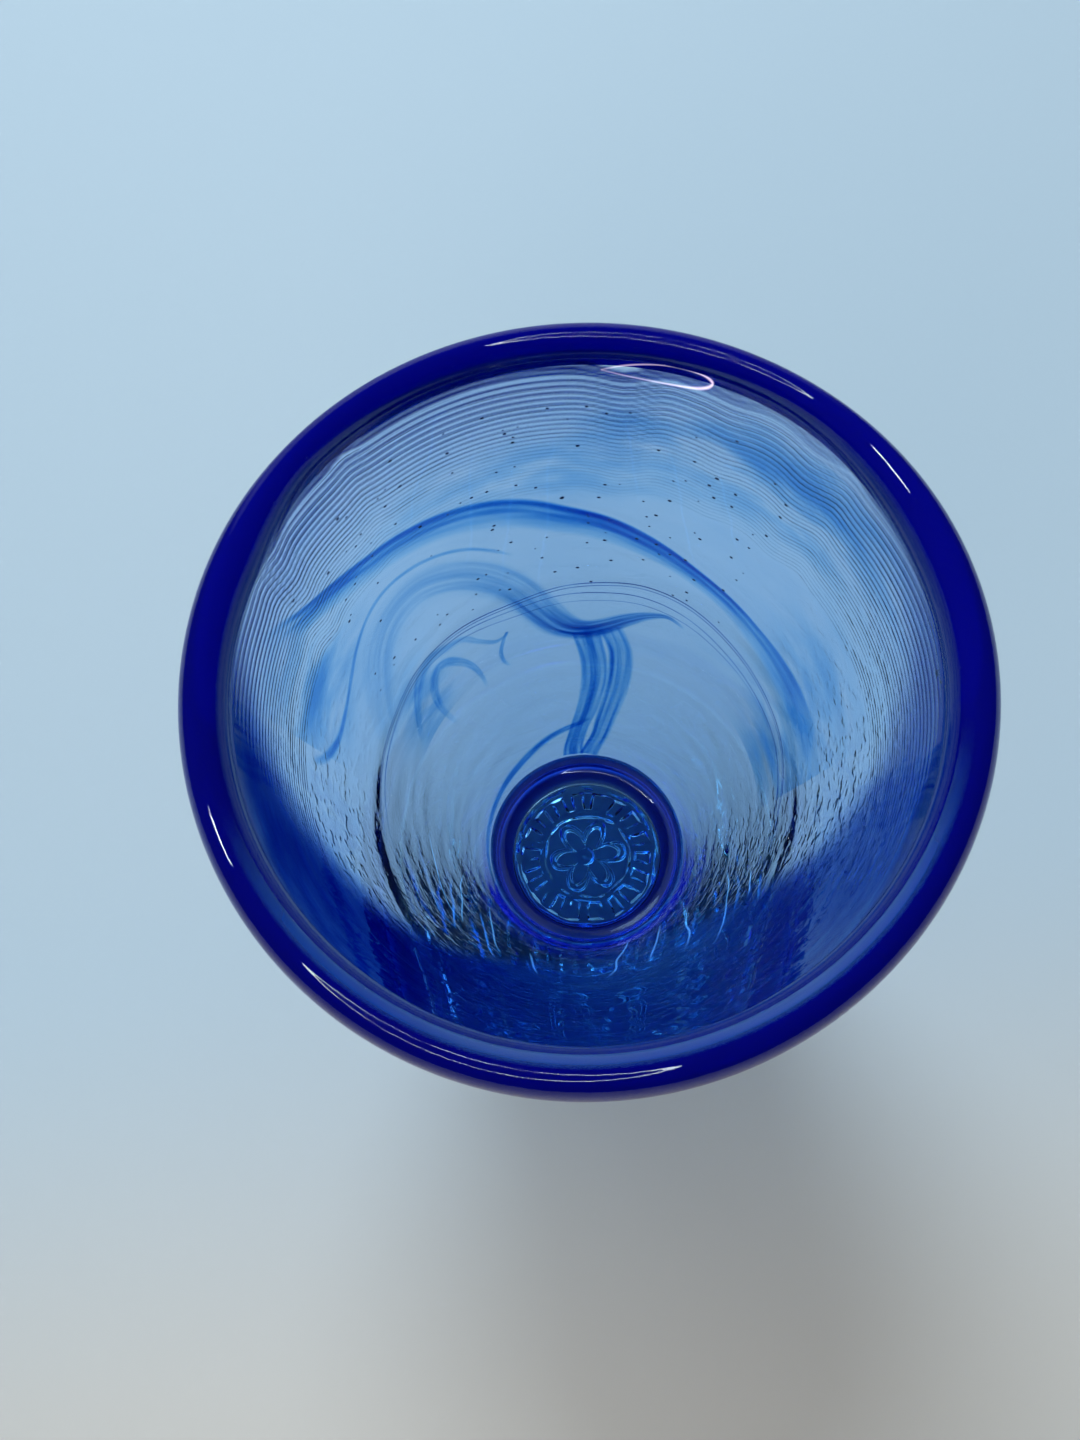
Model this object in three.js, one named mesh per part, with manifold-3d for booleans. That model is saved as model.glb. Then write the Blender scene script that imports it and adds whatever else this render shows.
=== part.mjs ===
// Blown glass tumbler: a flared pale blue cup with a rolled cobalt lip, cobalt trails drawn
// through its wall, a second gather of glass round its lower half, and a thick foot with a
// pressed seal under it. Millimetres, +Z up, origin on the table under the centre of the foot.

import * as THREE from 'three';
import { LoftGeometry } from 'three/addons/geometries/LoftGeometry.js';
import { mergeVertices } from 'three/addons/utils/BufferGeometryUtils.js';
import Module from 'manifold-3d';

const wasm = await Module();
wasm.setup();

// Driving sizes of the cup and its lip
const height = 136;
const mouthRadius = 50;
const lipThickness = 6;
const lipHeight = 7.5;
const lipWall = 2.6;
const heelWall = 4.4;
const heelRadius = 20.3;
const bellyOut = 1.5;
const baseThickness = 14;
const floorThickness = 3.5;
const floorFillet = 4;
const heelRound = 7;

// Driving sizes of the second gather and the foot
const gatherTop = 74;
const gatherWave = 2.5;
const gatherRise = 10;
const gatherWall = 1.5;
const gatherEdge = 0.6;
const footRingWidth = 3.6;
const footRound = 2.5;
const recessChamfer = 0.6;

// Driving sizes of the pressed seal in the recess under the foot
const sealRadius = 16.6;
const sealThickness = 1.6;
const sealRelief = 0.7;
const sealLift = 0.9;
const sealRingRadius = 10.5;
const sealRib = 1;
const bossRadius = 1.8;
const petalWidth = 2.6;
const petalCount = 8;
const tickCount = 16;

// Half width of a common trail and its depth in the wall, and the gap where one curved mass
// of glass meets another
const trailSize = 1;
const trailDepth = 1;
const clearance = 0.3;

// Hand-made unevenness of the round, at its largest at the lip
const ovalOut = 0.14;
const lobesOut = 0.2;
const lobesAngle = THREE.MathUtils.degToRad(13);
const gatherWaveAngle = THREE.MathUtils.degToRad(62);
const gatherRiseAngle = THREE.MathUtils.degToRad(-108);

// How finely the round shapes are cut into facets
const facetsRound = 60;
const wallSteps = 7;
const cornerSteps = 3;
const lipSteps = 12;
const petalSteps = 8;
const trailSteps = 18;

// The trails: each is a list of places, given as the angle round the cup in degrees, the
// share of the way up the wall from floor to lip, and the trail's width there, where 1 is as
// wide as a common trail
const trails = {
  arc_trail: [
    [152, 0.85, 0], [140, 0.815, 2.2], [114, 0.795, 2.4], [97, 0.755, 2.4],
    [68, 0.68, 2], [36, 0.605, 1.4], [5, 0.6, 0],
  ],
  swirl_trail: [
    [150, 0.62, 0], [133, 0.688, 1.6], [120, 0.69, 2.2], [102, 0.596, 2], [93, 0.495, 2],
    [86, 0.41, 2.4], [73, 0.425, 1.8], [64, 0.475, 1.1], [52, 0.485, 0],
  ],
  stem_trail_left: [
    [79, 0.405, 0], [78.5, 0.375, 1.3], [76, 0.32, 1.5], [77.5, 0.24, 1.4],
    [82, 0.15, 1.2], [88, 0.085, 0.9], [93, 0.04, 0],
  ],
  stem_trail_right: [
    [71, 0.43, 0], [69, 0.395, 1], [65, 0.355, 1.2], [64.5, 0.305, 1.2],
    [66, 0.205, 1], [67, 0.11, 0],
  ],
  root_trail: [
    [82, 0.15, 0], [89, 0.13, 0.8], [102, 0.1, 0.9], [124, 0.065, 0.9],
    [142, 0.06, 0.7], [170, 0.045, 0],
  ],
  curl_trail: [
    [152, 0.41, 0], [139, 0.5, 1], [130, 0.537, 1.1], [117, 0.467, 1], [105, 0.455, 0],
  ],
  inner_curl_trail: [
    [131, 0.49, 0], [124.5, 0.465, 0.8], [120, 0.414, 0.8], [119, 0.35, 0],
  ],
  hair_trail: [
    [137, 0.735, 0], [119, 0.735, 0.6], [109, 0.7, 0.6], [99, 0.64, 0],
  ],
  side_trail: [
    [146, 0.74, 0], [150, 0.71, 0.7], [157, 0.675, 0.8], [169, 0.68, 0],
  ],
};

// Glass colours, as red, green and blue in hexadecimal
const clearBlue = 0xa9cfec;
const cobalt = 0x0a1fae;
const sealBlue = 0x3f8fd0;

// Heights and radii that follow from the driving sizes
const lipSeat = height - lipHeight;
const lipMiddle = mouthRadius - lipThickness / 2;
const throatRadius = lipMiddle - lipWall / 2;
const bowlSeat = baseThickness - floorThickness;
const recessDepth = sealLift + sealRelief + sealThickness;
const recessRadius = sealRadius + clearance;

// Share of the way up the wall from the inner floor to the lip, and back to a height
const shareAt = (z) => (z - baseThickness) / (lipSeat - baseThickness);
const heightAt = (share) => THREE.MathUtils.lerp(baseThickness, lipSeat, share);

function innerRadius(z) {
  const t = shareAt(z);
  return THREE.MathUtils.lerp(heelRadius, throatRadius, t) + bellyOut * 4 * t * (1 - t);
}

function outerRadius(z) {
  return innerRadius(z) + THREE.MathUtils.lerp(heelWall, lipWall, shareAt(z));
}

// The wall's lean from upright, in radians, at a height
function leanOf(radiusAt, z) {
  const step = 1;
  return Math.atan((radiusAt(z + step) - radiusAt(z - step)) / (2 * step));
}

// How much wider than true the round is, at an angle and a height
function handmade(angle, z) {
  const oval = ovalOut * Math.cos(2 * angle);
  const lobes = lobesOut * Math.cos(3 * (angle - lobesAngle));
  return 1 + ((oval + lobes) / mouthRadius) * (z / height) ** 2;
}

// Revolves a profile of [radius, height] points round +Z, from the underside outwards and up.
// The rule can move each point by its angle, and the hand-made unevenness comes last.
function revolve(profile, rule = (angle, radius, z) => [radius, z]) {
  const points = profile.map(([radius, z]) => new THREE.Vector2(radius, z));
  const geometry = new THREE.LatheGeometry(points, facetsRound).rotateX(Math.PI / 2);
  const place = geometry.getAttribute('position');
  for (let i = 0; i < place.count; i++) {
    const angle = Math.atan2(place.getY(i), place.getX(i));
    const [radius, z] = rule(angle, Math.hypot(place.getX(i), place.getY(i)), place.getZ(i));
    const wide = radius * handmade(angle, z);
    place.setXYZ(i, wide * Math.cos(angle), wide * Math.sin(angle), z);
  }
  return geometry;
}

// Points of a round corner in a profile, between two angles
function arc([radius, z], size, from, to) {
  const points = [];
  for (let i = 0; i <= cornerSteps; i++) {
    const angle = THREE.MathUtils.lerp(from, to, i / cornerSteps);
    points.push([radius + size * Math.cos(angle), z + size * Math.sin(angle)]);
  }
  return points;
}

// Points of a wall in a profile, between two heights
function wall(radiusAt, from, to) {
  const points = [];
  for (let i = 0; i <= wallSteps; i++) {
    const z = THREE.MathUtils.lerp(from, to, i / wallSteps);
    points.push([radiusAt(z), z]);
  }
  return points;
}

// The round between a level face and the wall above it: its centre, the wall's lean there,
// and the height where it runs into the wall
function roundAt(radiusAt, level, size) {
  const z = level + size;
  const lean = leanOf(radiusAt, z);
  const centre = [radiusAt(z) - size / Math.cos(lean), z];
  return { centre, lean, top: z - size * Math.sin(lean) };
}

function solidOf(geometry) {
  const bare = new THREE.BufferGeometry();
  bare.setAttribute('position', geometry.getAttribute('position'));
  bare.setIndex(geometry.index);
  const merged = mergeVertices(bare, 1e-3);
  const vertProperties = merged.getAttribute('position').array;
  const triVerts = new Uint32Array(merged.index.array);
  return new wasm.Manifold(new wasm.Mesh({ numProp: 3, vertProperties, triVerts }));
}

function geometryOf(solid) {
  const { vertProperties, triVerts } = solid.getMesh();
  const geometry = new THREE.BufferGeometry();
  geometry.setAttribute('position', new THREE.BufferAttribute(vertProperties, 3));
  geometry.setIndex(new THREE.BufferAttribute(triVerts, 1));
  return geometry;
}

function join(solids) {
  return solids.reduce((whole, solid) => whole.add(solid));
}

function glass(name, solid, color, opacity) {
  const material = new THREE.MeshStandardMaterial({
    name: `${name}_glass`,
    color,
    opacity,
    transparent: true,
    roughness: 0.03,
    metalness: 0,
  });
  const geometry = geometryOf(solid);
  geometry.computeVertexNormals();
  const mesh = new THREE.Mesh(geometry, material);
  mesh.name = name;
  return mesh;
}

// Clear cup, from its floor to the seat of the lip
function bowl() {
  const heel = roundAt(outerRadius, bowlSeat, heelRound);
  const corner = roundAt(innerRadius, baseThickness, floorFillet);
  return solidOf(revolve([
    [0, bowlSeat],
    ...arc(heel.centre, heelRound, -Math.PI / 2, -heel.lean).slice(0, -1),
    ...wall(outerRadius, heel.top, lipSeat),
    ...wall(innerRadius, lipSeat, corner.top),
    ...arc(corner.centre, floorFillet, -corner.lean, -Math.PI / 2).slice(1),
    [0, baseThickness],
  ]));
}

// Rolled lip: an oval bead as wide as the wall where it is fused to it, and fuller above
function lip() {
  const seatAngle = Math.acos(lipWall / lipThickness);
  const halfHeight = lipHeight / (1 + Math.sin(seatAngle));
  const profile = [];
  for (let i = 0; i <= lipSteps; i++) {
    const angle = THREE.MathUtils.lerp(-seatAngle, Math.PI + seatAngle, i / lipSteps);
    const radius = lipMiddle + (lipThickness / 2) * Math.cos(angle);
    profile.push([radius, height - halfHeight + halfHeight * Math.sin(angle)]);
  }
  return solidOf(revolve([...profile, profile[0]]));
}

// How far the second gather's edge lies above or below its mean height, at an angle
function gatherUneven(angle) {
  const rise = Math.max(0, Math.cos(angle - gatherRiseAngle)) ** 4;
  return gatherWave * Math.cos(2 * (angle - gatherWaveAngle)) + gatherRise * rise;
}

// Second gather: a sleeve round the lower wall that thins to an uneven edge, which rises at
// the front of the tumbler
function gather() {
  const gatherInner = (z) => outerRadius(z) + clearance;
  const thinning = (z) => ((z - bowlSeat) / (gatherTop - bowlSeat)) ** 3;
  const thickness = (z) => THREE.MathUtils.lerp(gatherWall, gatherEdge, thinning(z));
  const gatherOuter = (z) => gatherInner(z) + thickness(z);
  const uneven = (angle, radius, z) => {
    const wave = gatherUneven(angle) * thinning(z);
    return [radius + outerRadius(z + wave) - outerRadius(z), z + wave];
  };
  return solidOf(revolve([
    ...wall(gatherOuter, bowlSeat, gatherTop),
    ...wall(gatherInner, gatherTop, bowlSeat),
    [gatherOuter(bowlSeat), bowlSeat],
  ], uneven));
}

// Cobalt ring that fills the corner between the cup's rounded heel and the foot
function heelRing() {
  const heel = roundAt(outerRadius, bowlSeat, heelRound);
  const edge = Math.acos(heelRound / (heelRound + clearance));
  const hollow = arc(heel.centre, heelRound + clearance, -heel.lean - edge, edge - Math.PI / 2);
  return solidOf(revolve([
    hollow.at(-1),
    [outerRadius(bowlSeat), bowlSeat],
    ...hollow,
  ]));
}

// Foot: a thick puck that stands on a ring, with a recess for the seal
function foot() {
  const chamferRadius = recessRadius + recessChamfer;
  const ringRadius = chamferRadius + footRingWidth;
  const topRadius = outerRadius(bowlSeat) + clearance + gatherWall;
  return solidOf(revolve([
    [0, recessDepth],
    [recessRadius, recessDepth],
    [recessRadius, recessChamfer],
    [chamferRadius, 0],
    ...arc([ringRadius, footRound], footRound, -Math.PI / 2, 0),
    [topRadius, bowlSeat],
    [0, bowlSeat],
  ]));
}

// A flat outline pressed out of the seal's underside, and let into the seal behind it
function pressed(shape, angle) {
  const underside = recessDepth - sealThickness;
  const root = sealThickness / 2;
  const depth = sealRelief + root;
  const options = { depth, bevelEnabled: false, curveSegments: petalSteps };
  const geometry = new THREE.ExtrudeGeometry(shape, options);
  return solidOf(geometry.translate(0, 0, underside - sealRelief).rotateZ(angle));
}

// Seal: a disc with a border, a ring, ticks round it and a plain rosette in its middle
function seal() {
  const underside = recessDepth - sealThickness;
  const crest = underside - sealRelief;
  const flat = sealRib / 4;
  const disc = solidOf(revolve([
    [0, crest],
    [bossRadius, crest],
    [bossRadius + flat, underside],
    [sealRingRadius - sealRib / 2, underside],
    [sealRingRadius - flat, crest],
    [sealRingRadius + flat, crest],
    [sealRingRadius + sealRib / 2, underside],
    [sealRadius - sealRib, underside],
    [sealRadius - sealRib + flat, crest],
    [sealRadius, crest],
    [sealRadius, recessDepth],
    [0, recessDepth],
  ]));

  const petalLength = sealRingRadius - bossRadius;
  const petal = new THREE.Shape();
  petal.absellipse(bossRadius + petalLength / 2, 0, petalLength / 2, petalWidth / 2, 0, 2 * Math.PI);
  const tickInner = sealRingRadius;
  const tickOuter = sealRadius - sealRib / 2;
  const tick = new THREE.Shape([
    new THREE.Vector2(tickInner, -sealRib / 3),
    new THREE.Vector2(tickOuter, -sealRib / 2),
    new THREE.Vector2(tickOuter, sealRib / 2),
    new THREE.Vector2(tickInner, sealRib / 3),
  ]);
  const relief = [];
  for (let i = 0; i < petalCount; i++) {
    relief.push(pressed(petal, (i * 2 * Math.PI) / petalCount));
  }
  for (let i = 0; i < tickCount; i++) {
    relief.push(pressed(tick, (i * 2 * Math.PI) / tickCount));
  }
  return join([disc, ...relief]);
}

// A point in the wall at an angle and a height, set in from the wall's outer face
function inWall(angle, z, inset) {
  const radius = (outerRadius(z) - inset) * handmade(angle, z);
  return new THREE.Vector3(radius * Math.cos(angle), radius * Math.sin(angle), z);
}

// A trail lies in the outer face of the wall: level with it outside, and lens-shaped inside.
// With room it is the channel that the trail lies in, which is larger all round.
function trail(places, room = 0) {
  const course = new THREE.CatmullRomCurve3(places.map((place) => new THREE.Vector3(...place)));
  const onWall = ({ x, y }) => inWall(THREE.MathUtils.degToRad(x), heightAt(y), 0);
  const line = new THREE.CatmullRomCurve3(course.getPoints(trailSteps).map(onWall));
  const shorter = room > 0 ? 0 : clearance / line.getLength();

  const sections = [];
  for (let i = 0; i <= trailSteps; i++) {
    const along = THREE.MathUtils.lerp(shorter, 1 - shorter, i / trailSteps);
    const place = course.getPoint(along);
    const isTip = i === 0 || i === trailSteps;
    const half = isTip ? 0 : trailSize * Math.max(0, place.z) + room;
    const depth = isTip ? 0 : Math.min(trailDepth, half) + room;
    const proud = isTip ? 0 : room;

    const centre = onWall(place);
    const ahead = onWall(course.getPoint(Math.min(1, along + 0.01)));
    const behind = onWall(course.getPoint(Math.max(0, along - 0.01)));
    const outwards = new THREE.Vector3(centre.x, centre.y, 0).normalize();
    const sideways = ahead.sub(behind).cross(outwards).normalize();

    const across = (offset, inset) => {
      const point = centre.clone().addScaledVector(sideways, offset * half);
      return inWall(Math.atan2(point.y, point.x), point.z, inset);
    };
    sections.push([
      across(-1, -proud), across(0, -proud), across(1, -proud),
      across(0.6, depth * 0.7), across(0, depth), across(-0.6, depth * 0.7),
    ]);
  }
  return solidOf(new LoftGeometry(sections));
}

// Each trail is cut back from the ones before it that it branches from
function buildTrails() {
  const solids = {};
  let channels = null;
  for (const [name, places] of Object.entries(trails)) {
    const whole = trail(places);
    solids[name] = channels ? whole.subtract(channels) : whole;
    const channel = trail(places, clearance);
    channels = channels ? channels.add(channel) : channel;
  }
  return { solids, channels };
}

const { solids: trailSolids, channels } = buildTrails();

const tumbler = new THREE.Group();
tumbler.name = 'tumbler';
tumbler.add(glass('bowl_wall', bowl().subtract(channels), clearBlue, 0.35));
tumbler.add(glass('lip_wrap', lip(), cobalt, 0.85));
tumbler.add(glass('lower_gather', gather(), clearBlue, 0.35));
tumbler.add(glass('foot', foot(), clearBlue, 0.4));
tumbler.add(glass('heel_ring', heelRing(), cobalt, 0.85));
tumbler.add(glass('base_seal', seal(), sealBlue, 0.5));
for (const [name, solid] of Object.entries(trailSolids)) {
  tumbler.add(glass(name, solid, cobalt, 0.7));
}

export default tumbler;
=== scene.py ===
# %% [markdown]
# A hand-blown glass tumbler, dressed round its CAD frame. The frame holds every piece at its
# real size, and this file gives the glass its look: one clear body with its ripples, and the
# cobalt glass that lies inside it. Every length is in metres, with +Z up out of the mouth.

import math

import bpy
import numpy as np
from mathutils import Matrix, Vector, noise


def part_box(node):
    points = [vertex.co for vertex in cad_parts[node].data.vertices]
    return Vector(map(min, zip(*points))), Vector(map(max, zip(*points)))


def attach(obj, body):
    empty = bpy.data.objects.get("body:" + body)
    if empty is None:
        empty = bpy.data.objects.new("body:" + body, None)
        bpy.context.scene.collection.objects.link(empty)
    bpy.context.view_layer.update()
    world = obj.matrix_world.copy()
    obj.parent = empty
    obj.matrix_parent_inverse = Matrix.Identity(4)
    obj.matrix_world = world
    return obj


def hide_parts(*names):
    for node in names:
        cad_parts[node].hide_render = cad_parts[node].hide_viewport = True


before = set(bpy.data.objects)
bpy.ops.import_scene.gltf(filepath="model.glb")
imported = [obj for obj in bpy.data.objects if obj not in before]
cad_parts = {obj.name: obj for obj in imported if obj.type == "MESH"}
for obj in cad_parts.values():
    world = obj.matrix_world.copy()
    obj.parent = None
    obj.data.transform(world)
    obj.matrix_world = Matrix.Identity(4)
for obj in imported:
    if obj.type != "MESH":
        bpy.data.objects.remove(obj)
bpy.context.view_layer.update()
print("nodes in the frame:", len(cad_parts))

# %% [markdown]
# The photograph looks down into the mouth from just in front of the rim, with a wide lens.
# The camera's place comes from the outline of the lip and the ring round the floor: both are
# circles of known size, and only one place sees them both where they are.

# %% Camera
MM = 0.001
camera_place = Vector((-5.98, -45.53, 262.11)) * MM
camera_pitch = math.radians(72.75)
camera_roll = math.radians(-8.56)
focal_length = 28
sensor_size = 36

camera_data = bpy.data.cameras.new("camera")
camera_data.lens = focal_length
camera_data.sensor_width = sensor_size
camera_data.clip_start = 5 * MM
camera = bpy.data.objects.new("camera", camera_data)
bpy.context.scene.collection.objects.link(camera)
bpy.context.scene.camera = camera

forward = Vector((0, math.cos(camera_pitch), -math.sin(camera_pitch)))
level_right = Vector((1, 0, 0))
level_up = level_right.cross(forward)
camera_right = level_right * math.cos(camera_roll) + level_up * math.sin(camera_roll)
camera_up = camera_right.cross(forward)
turn = camera.matrix_world.to_3x3()
turn.col[0], turn.col[1], turn.col[2] = camera_right, camera_up, -forward
camera.rotation_mode = "QUATERNION"
camera.rotation_quaternion = turn.to_quaternion()
camera.location = camera_place
print("camera looks along", [round(x, 3) for x in forward])

# %% [markdown]
# The sizes of the glass are read from the frame where it has them. The rest repeats the
# driving sizes of the cup: how thick the lip is, and how the wall leans and swells.

# %% Sizes
lip_low, lip_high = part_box("lip_wrap")
bowl_low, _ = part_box("bowl_wall")
_, foot_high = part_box("foot")
height = lip_high.z
lip_seat = lip_low.z
bowl_seat = bowl_low.z
mouth_radius = 50 * MM
lip_thickness = 6 * MM
lip_wall = 2.6 * MM
heel_wall = 4.4 * MM
heel_radius = 20.3 * MM
belly_out = 1.5 * MM
inner_floor = 14 * MM
floor_fillet = 4 * MM
gather_top = 74 * MM
gather_wave = 2.5 * MM
gather_wall = 1.8 * MM
gather_rise = 10 * MM
gather_edge = 0.15 * MM
gather_thinning = 1.0

lip_middle = mouth_radius - lip_thickness / 2
lip_rise = (height - lip_seat) / (1 + math.sin(math.acos(lip_wall / lip_thickness)))
lip_centre = height - lip_rise
throat_radius = lip_middle - lip_wall / 2


def share_at(z):
    return (z - inner_floor) / (lip_seat - inner_floor)


def inner_radius(z):
    t = share_at(z)
    return heel_radius + t * (throat_radius - heel_radius) + belly_out * 4 * t * (1 - t)


def outer_radius(z):
    return inner_radius(z) + heel_wall + share_at(z) * (lip_wall - heel_wall)


def smooth_step(t):
    t = np.clip(t, 0, 1)
    return t * t * (3 - 2 * t)


print("lip from", round(lip_seat / MM, 1), "to", round(height / MM, 1), "mm")

# %% [markdown]
# No blown round is true. The mouth is a little oval and has three soft lobes, most at the
# lip. The same rule moves every piece, so that what lies in the wall stays in the wall.

# %% Hand-made unevenness
oval_out = 0.14 * MM
lobes_out = 0.2 * MM
lobes_angle = math.radians(13)


def handmade(angle, z):
    oval = oval_out * np.cos(2 * angle)
    lobes = lobes_out * np.cos(3 * (angle - lobes_angle))
    return 1 + (oval + lobes) / mouth_radius * (z / height) ** 2


def turned(angle, degrees):
    # How far an angle is from another in degrees, the short way round
    return (np.degrees(angle) - degrees + 180) % 360 - 180


print("oval and lobes, in mm at the lip:", oval_out / MM, lobes_out / MM)

# %% [markdown]
# The bead was not laid on evenly either. On the far side it is about a third thinner, and it
# lies further out. A squeeze toward the middle of the bead makes it so, and fades out below it.

# %% Thinner lip on the far side
squeeze_foot = 127 * MM
squeeze_blend = 3.5 * MM
squeeze_size = 0.68
squeeze_out = 0.9 * MM
squeeze_up = 0.3 * MM
far_middle = 80
far_start, far_start_blend = -72, 42
far_end, far_end_blend = 74, 24


def far_side(angle):
    away = turned(angle, far_middle)
    start = smooth_step((away - far_start) / far_start_blend)
    return start * smooth_step((far_end - away) / far_end_blend)


def squeeze_lip(angle, radius, z):
    share = far_side(angle) * smooth_step((z - squeeze_foot) / squeeze_blend)
    out = lip_middle + squeeze_out + squeeze_size * (radius - lip_middle)
    up = lip_centre + squeeze_up + squeeze_size * (z - lip_centre)
    return radius + share * (out - radius), z + share * (up - z)


print("far side of the lip, at 80 degrees:", float(far_side(math.radians(far_middle))))

# %% [markdown]
# Points are moved in bulk, as arrays: read from a mesh, turned into angle, radius and height,
# changed, and written back. Going back from polar is where the hand-made rules come in.

# %% Read and write points
def read_points(mesh):
    points = np.empty(len(mesh.vertices) * 3)
    mesh.vertices.foreach_get("co", points)
    return points.reshape(-1, 3)


def write_points(mesh, points):
    mesh.vertices.foreach_set("co", points.ravel())
    mesh.update()


def polar(points):
    x, y, z = points.T
    return np.arctan2(y, x), np.hypot(x, y), z


def from_polar(angle, radius, z):
    radius, z = squeeze_lip(angle, radius, z)
    wide = radius * handmade(angle, z)
    return np.stack([wide * np.cos(angle), wide * np.sin(angle), z], axis=1)


def paint(piece, name, values):
    # One number for every point of a piece, which its material reads by name
    layer = piece.data.attributes.new(name, "FLOAT", "POINT")
    layer.data.foreach_set("value", values.astype(np.float32))


def follow_handmade(piece):
    angle, radius, z = polar(read_points(piece.data))
    write_points(piece.data, from_polar(angle, radius, z))


print("points are read and written in bulk")

# %% [markdown]
# A blown vessel is a solid of revolution, so it is made as a glassblower's profile that is spun
# round the axis. The profile is drawn in edit mode: a plane is merged to one point, and each next
# point is extruded from the last. Spin then turns it into a closed skin.

# %% Draw a profile and spin it
def spin_profile(name, profile, steps):
    bpy.ops.object.select_all(action="DESELECT")
    bpy.ops.mesh.primitive_plane_add(size=2 * MM)
    piece = bpy.context.object
    piece.name = piece.data.name = name
    bpy.ops.object.mode_set(mode="EDIT")
    bpy.ops.mesh.select_mode(type="VERT")
    bpy.ops.mesh.merge(type="CENTER")
    place = Vector((0, 0, 0))
    for radius, z in profile:
        step = Vector((radius, 0, z)) - place
        if place.length == 0:
            bpy.ops.transform.translate(value=step)
        else:
            bpy.ops.mesh.extrude_region_move(TRANSFORM_OT_translate={"value": step})
        place += step
    bpy.ops.mesh.select_all(action="SELECT")
    bpy.ops.mesh.spin(steps=steps, angle=2 * math.pi, center=(0, 0, 0), axis=(0, 0, 1))
    bpy.ops.mesh.select_all(action="SELECT")
    bpy.ops.mesh.remove_doubles(threshold=0.002 * MM)
    bpy.ops.mesh.normals_make_consistent(inside=False)
    bpy.ops.object.mode_set(mode="OBJECT")
    bpy.ops.object.shade_smooth()
    print(name, "has", len(piece.data.polygons), "faces")
    return piece


def arc_points(centre, size, start, end, count):
    angles = np.linspace(start, end, count)
    return [(centre[0] + size * math.cos(a), centre[1] + size * math.sin(a)) for a in angles]


def thin_loop(radii, heights, half):
    # The closed profile of a thin film that runs up the wall
    loop = [(r + half, z) for r, z in zip(radii, heights)]
    loop += [(r - half, z) for r, z in zip(radii[::-1], heights[::-1])]
    return loop + loop[:1]


def wall_points(radius_at, start, end, count):
    return [(radius_at(z), z) for z in np.linspace(start, end, count)]


def hermite(t, start, start_way, end, end_way):
    # A smooth curve that leaves the start along one way and comes to the end along another
    curve = (2 * t**3 - 3 * t**2 + 1) * start + (t**3 - 2 * t**2 + t) * start_way
    return curve + (3 * t**2 - 2 * t**3) * end + (t**3 - t**2) * end_way


def blend_points(*ends_and_ways, count=5):
    # A smooth joint between two stretches of a profile
    t = np.linspace(0, 1, count + 2)[1:-1, None]
    return [tuple(p) for p in hermite(t, *(np.array(v) for v in ends_and_ways))]


# %% [markdown]
# The fine ripples below the lip look like the turns of a thin thread of glass that was wound
# on: each is a small round ridge, and the ridges get closer downwards.

# %% Ripples below the lip
ripple_top = 128.8 * MM
ripple_count = 31
first_pitch = 1.3 * MM
last_pitch = 0.75 * MM
pitch_fall = 0.97
ridge_fractions = (0, 0.18, 0.5, 0.82)

pitches = [max(last_pitch, first_pitch * pitch_fall**i) for i in range(ripple_count)]
ripple_edges = ripple_top - np.concatenate([[0], np.cumsum(pitches)])
ripple_foot = float(ripple_edges[-1])
print("ripples reach down to", round(ripple_foot / MM, 1), "mm")

# %% [markdown]
# The profile of the clear body runs from the middle of the underside out over the foot, up
# the second gather and its edge, up the rippled wall, over the round lip, and down the inside
# to the middle of the floor. It starts with the foot, which stands on a ring round a recess.

# %% Underside of the profile
recess_radius = 16.9 * MM
underside = 1.6 * MM
foot_round = 2.5 * MM
ring_radius = 21.1 * MM
chamfer = 0.6 * MM
foot_radius = foot_high.y / handmade(math.pi / 2, bowl_seat)


def underside_profile():
    return [
        *[(r, underside) for r in np.linspace(0, recess_radius - 0.4 * MM, 28)],
        (recess_radius - 0.15 * MM, underside + 0.5 * MM),
        (recess_radius, underside + 0.3 * MM),
        (recess_radius + 0.05 * MM, chamfer),
        (recess_radius + chamfer * 0.6, chamfer * 0.25),
        *arc_points((ring_radius, foot_round), foot_round, -math.pi / 2, 0, 9),
        *[(foot_radius, z) for z in (bowl_seat * 0.7, bowl_seat)],
    ]


print("the foot stands on a ring of", round(2 * ring_radius / MM, 1), "mm")

# %% [markdown]
# The lip is a bead, a little taller than wide. It joins the wall through smooth curves on both
# sides, so the profile needs points on the bead and the way the bead runs at each of them.

# %% Lip of the profile
lip_turn = math.radians(28)
lip_steps = 30
blend_drop = 2.2 * MM


def lip_point(angle, size=1.0):
    across = size * lip_thickness / 2 * math.cos(angle)
    return lip_middle + across, lip_centre + size * lip_rise * math.sin(angle)


def lip_way(angle, length):
    way = Vector((-lip_thickness / 2 * math.sin(angle), lip_rise * math.cos(angle)))
    return tuple(way.normalized() * length)


def lip_profile():
    return [lip_point(a) for a in np.linspace(-lip_turn, math.pi + lip_turn, lip_steps)]


print("the lip is", round(2 * lip_rise / MM, 1), "mm tall")

# %% [markdown]
# The second gather thins evenly up to a low step. Above it, the outside is the bare wall and
# then the ridges of the thread, which are only marked here and pushed out later. The inside is
# plain, with a round corner where it meets the floor.

# %% Walls of the profile
step_width = 4 * MM


def gather_radius(z):
    thinning = ((z - bowl_seat) / (gather_top - bowl_seat)) ** gather_thinning
    return outer_radius(z) + gather_wall + thinning * (gather_edge - gather_wall)


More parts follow.
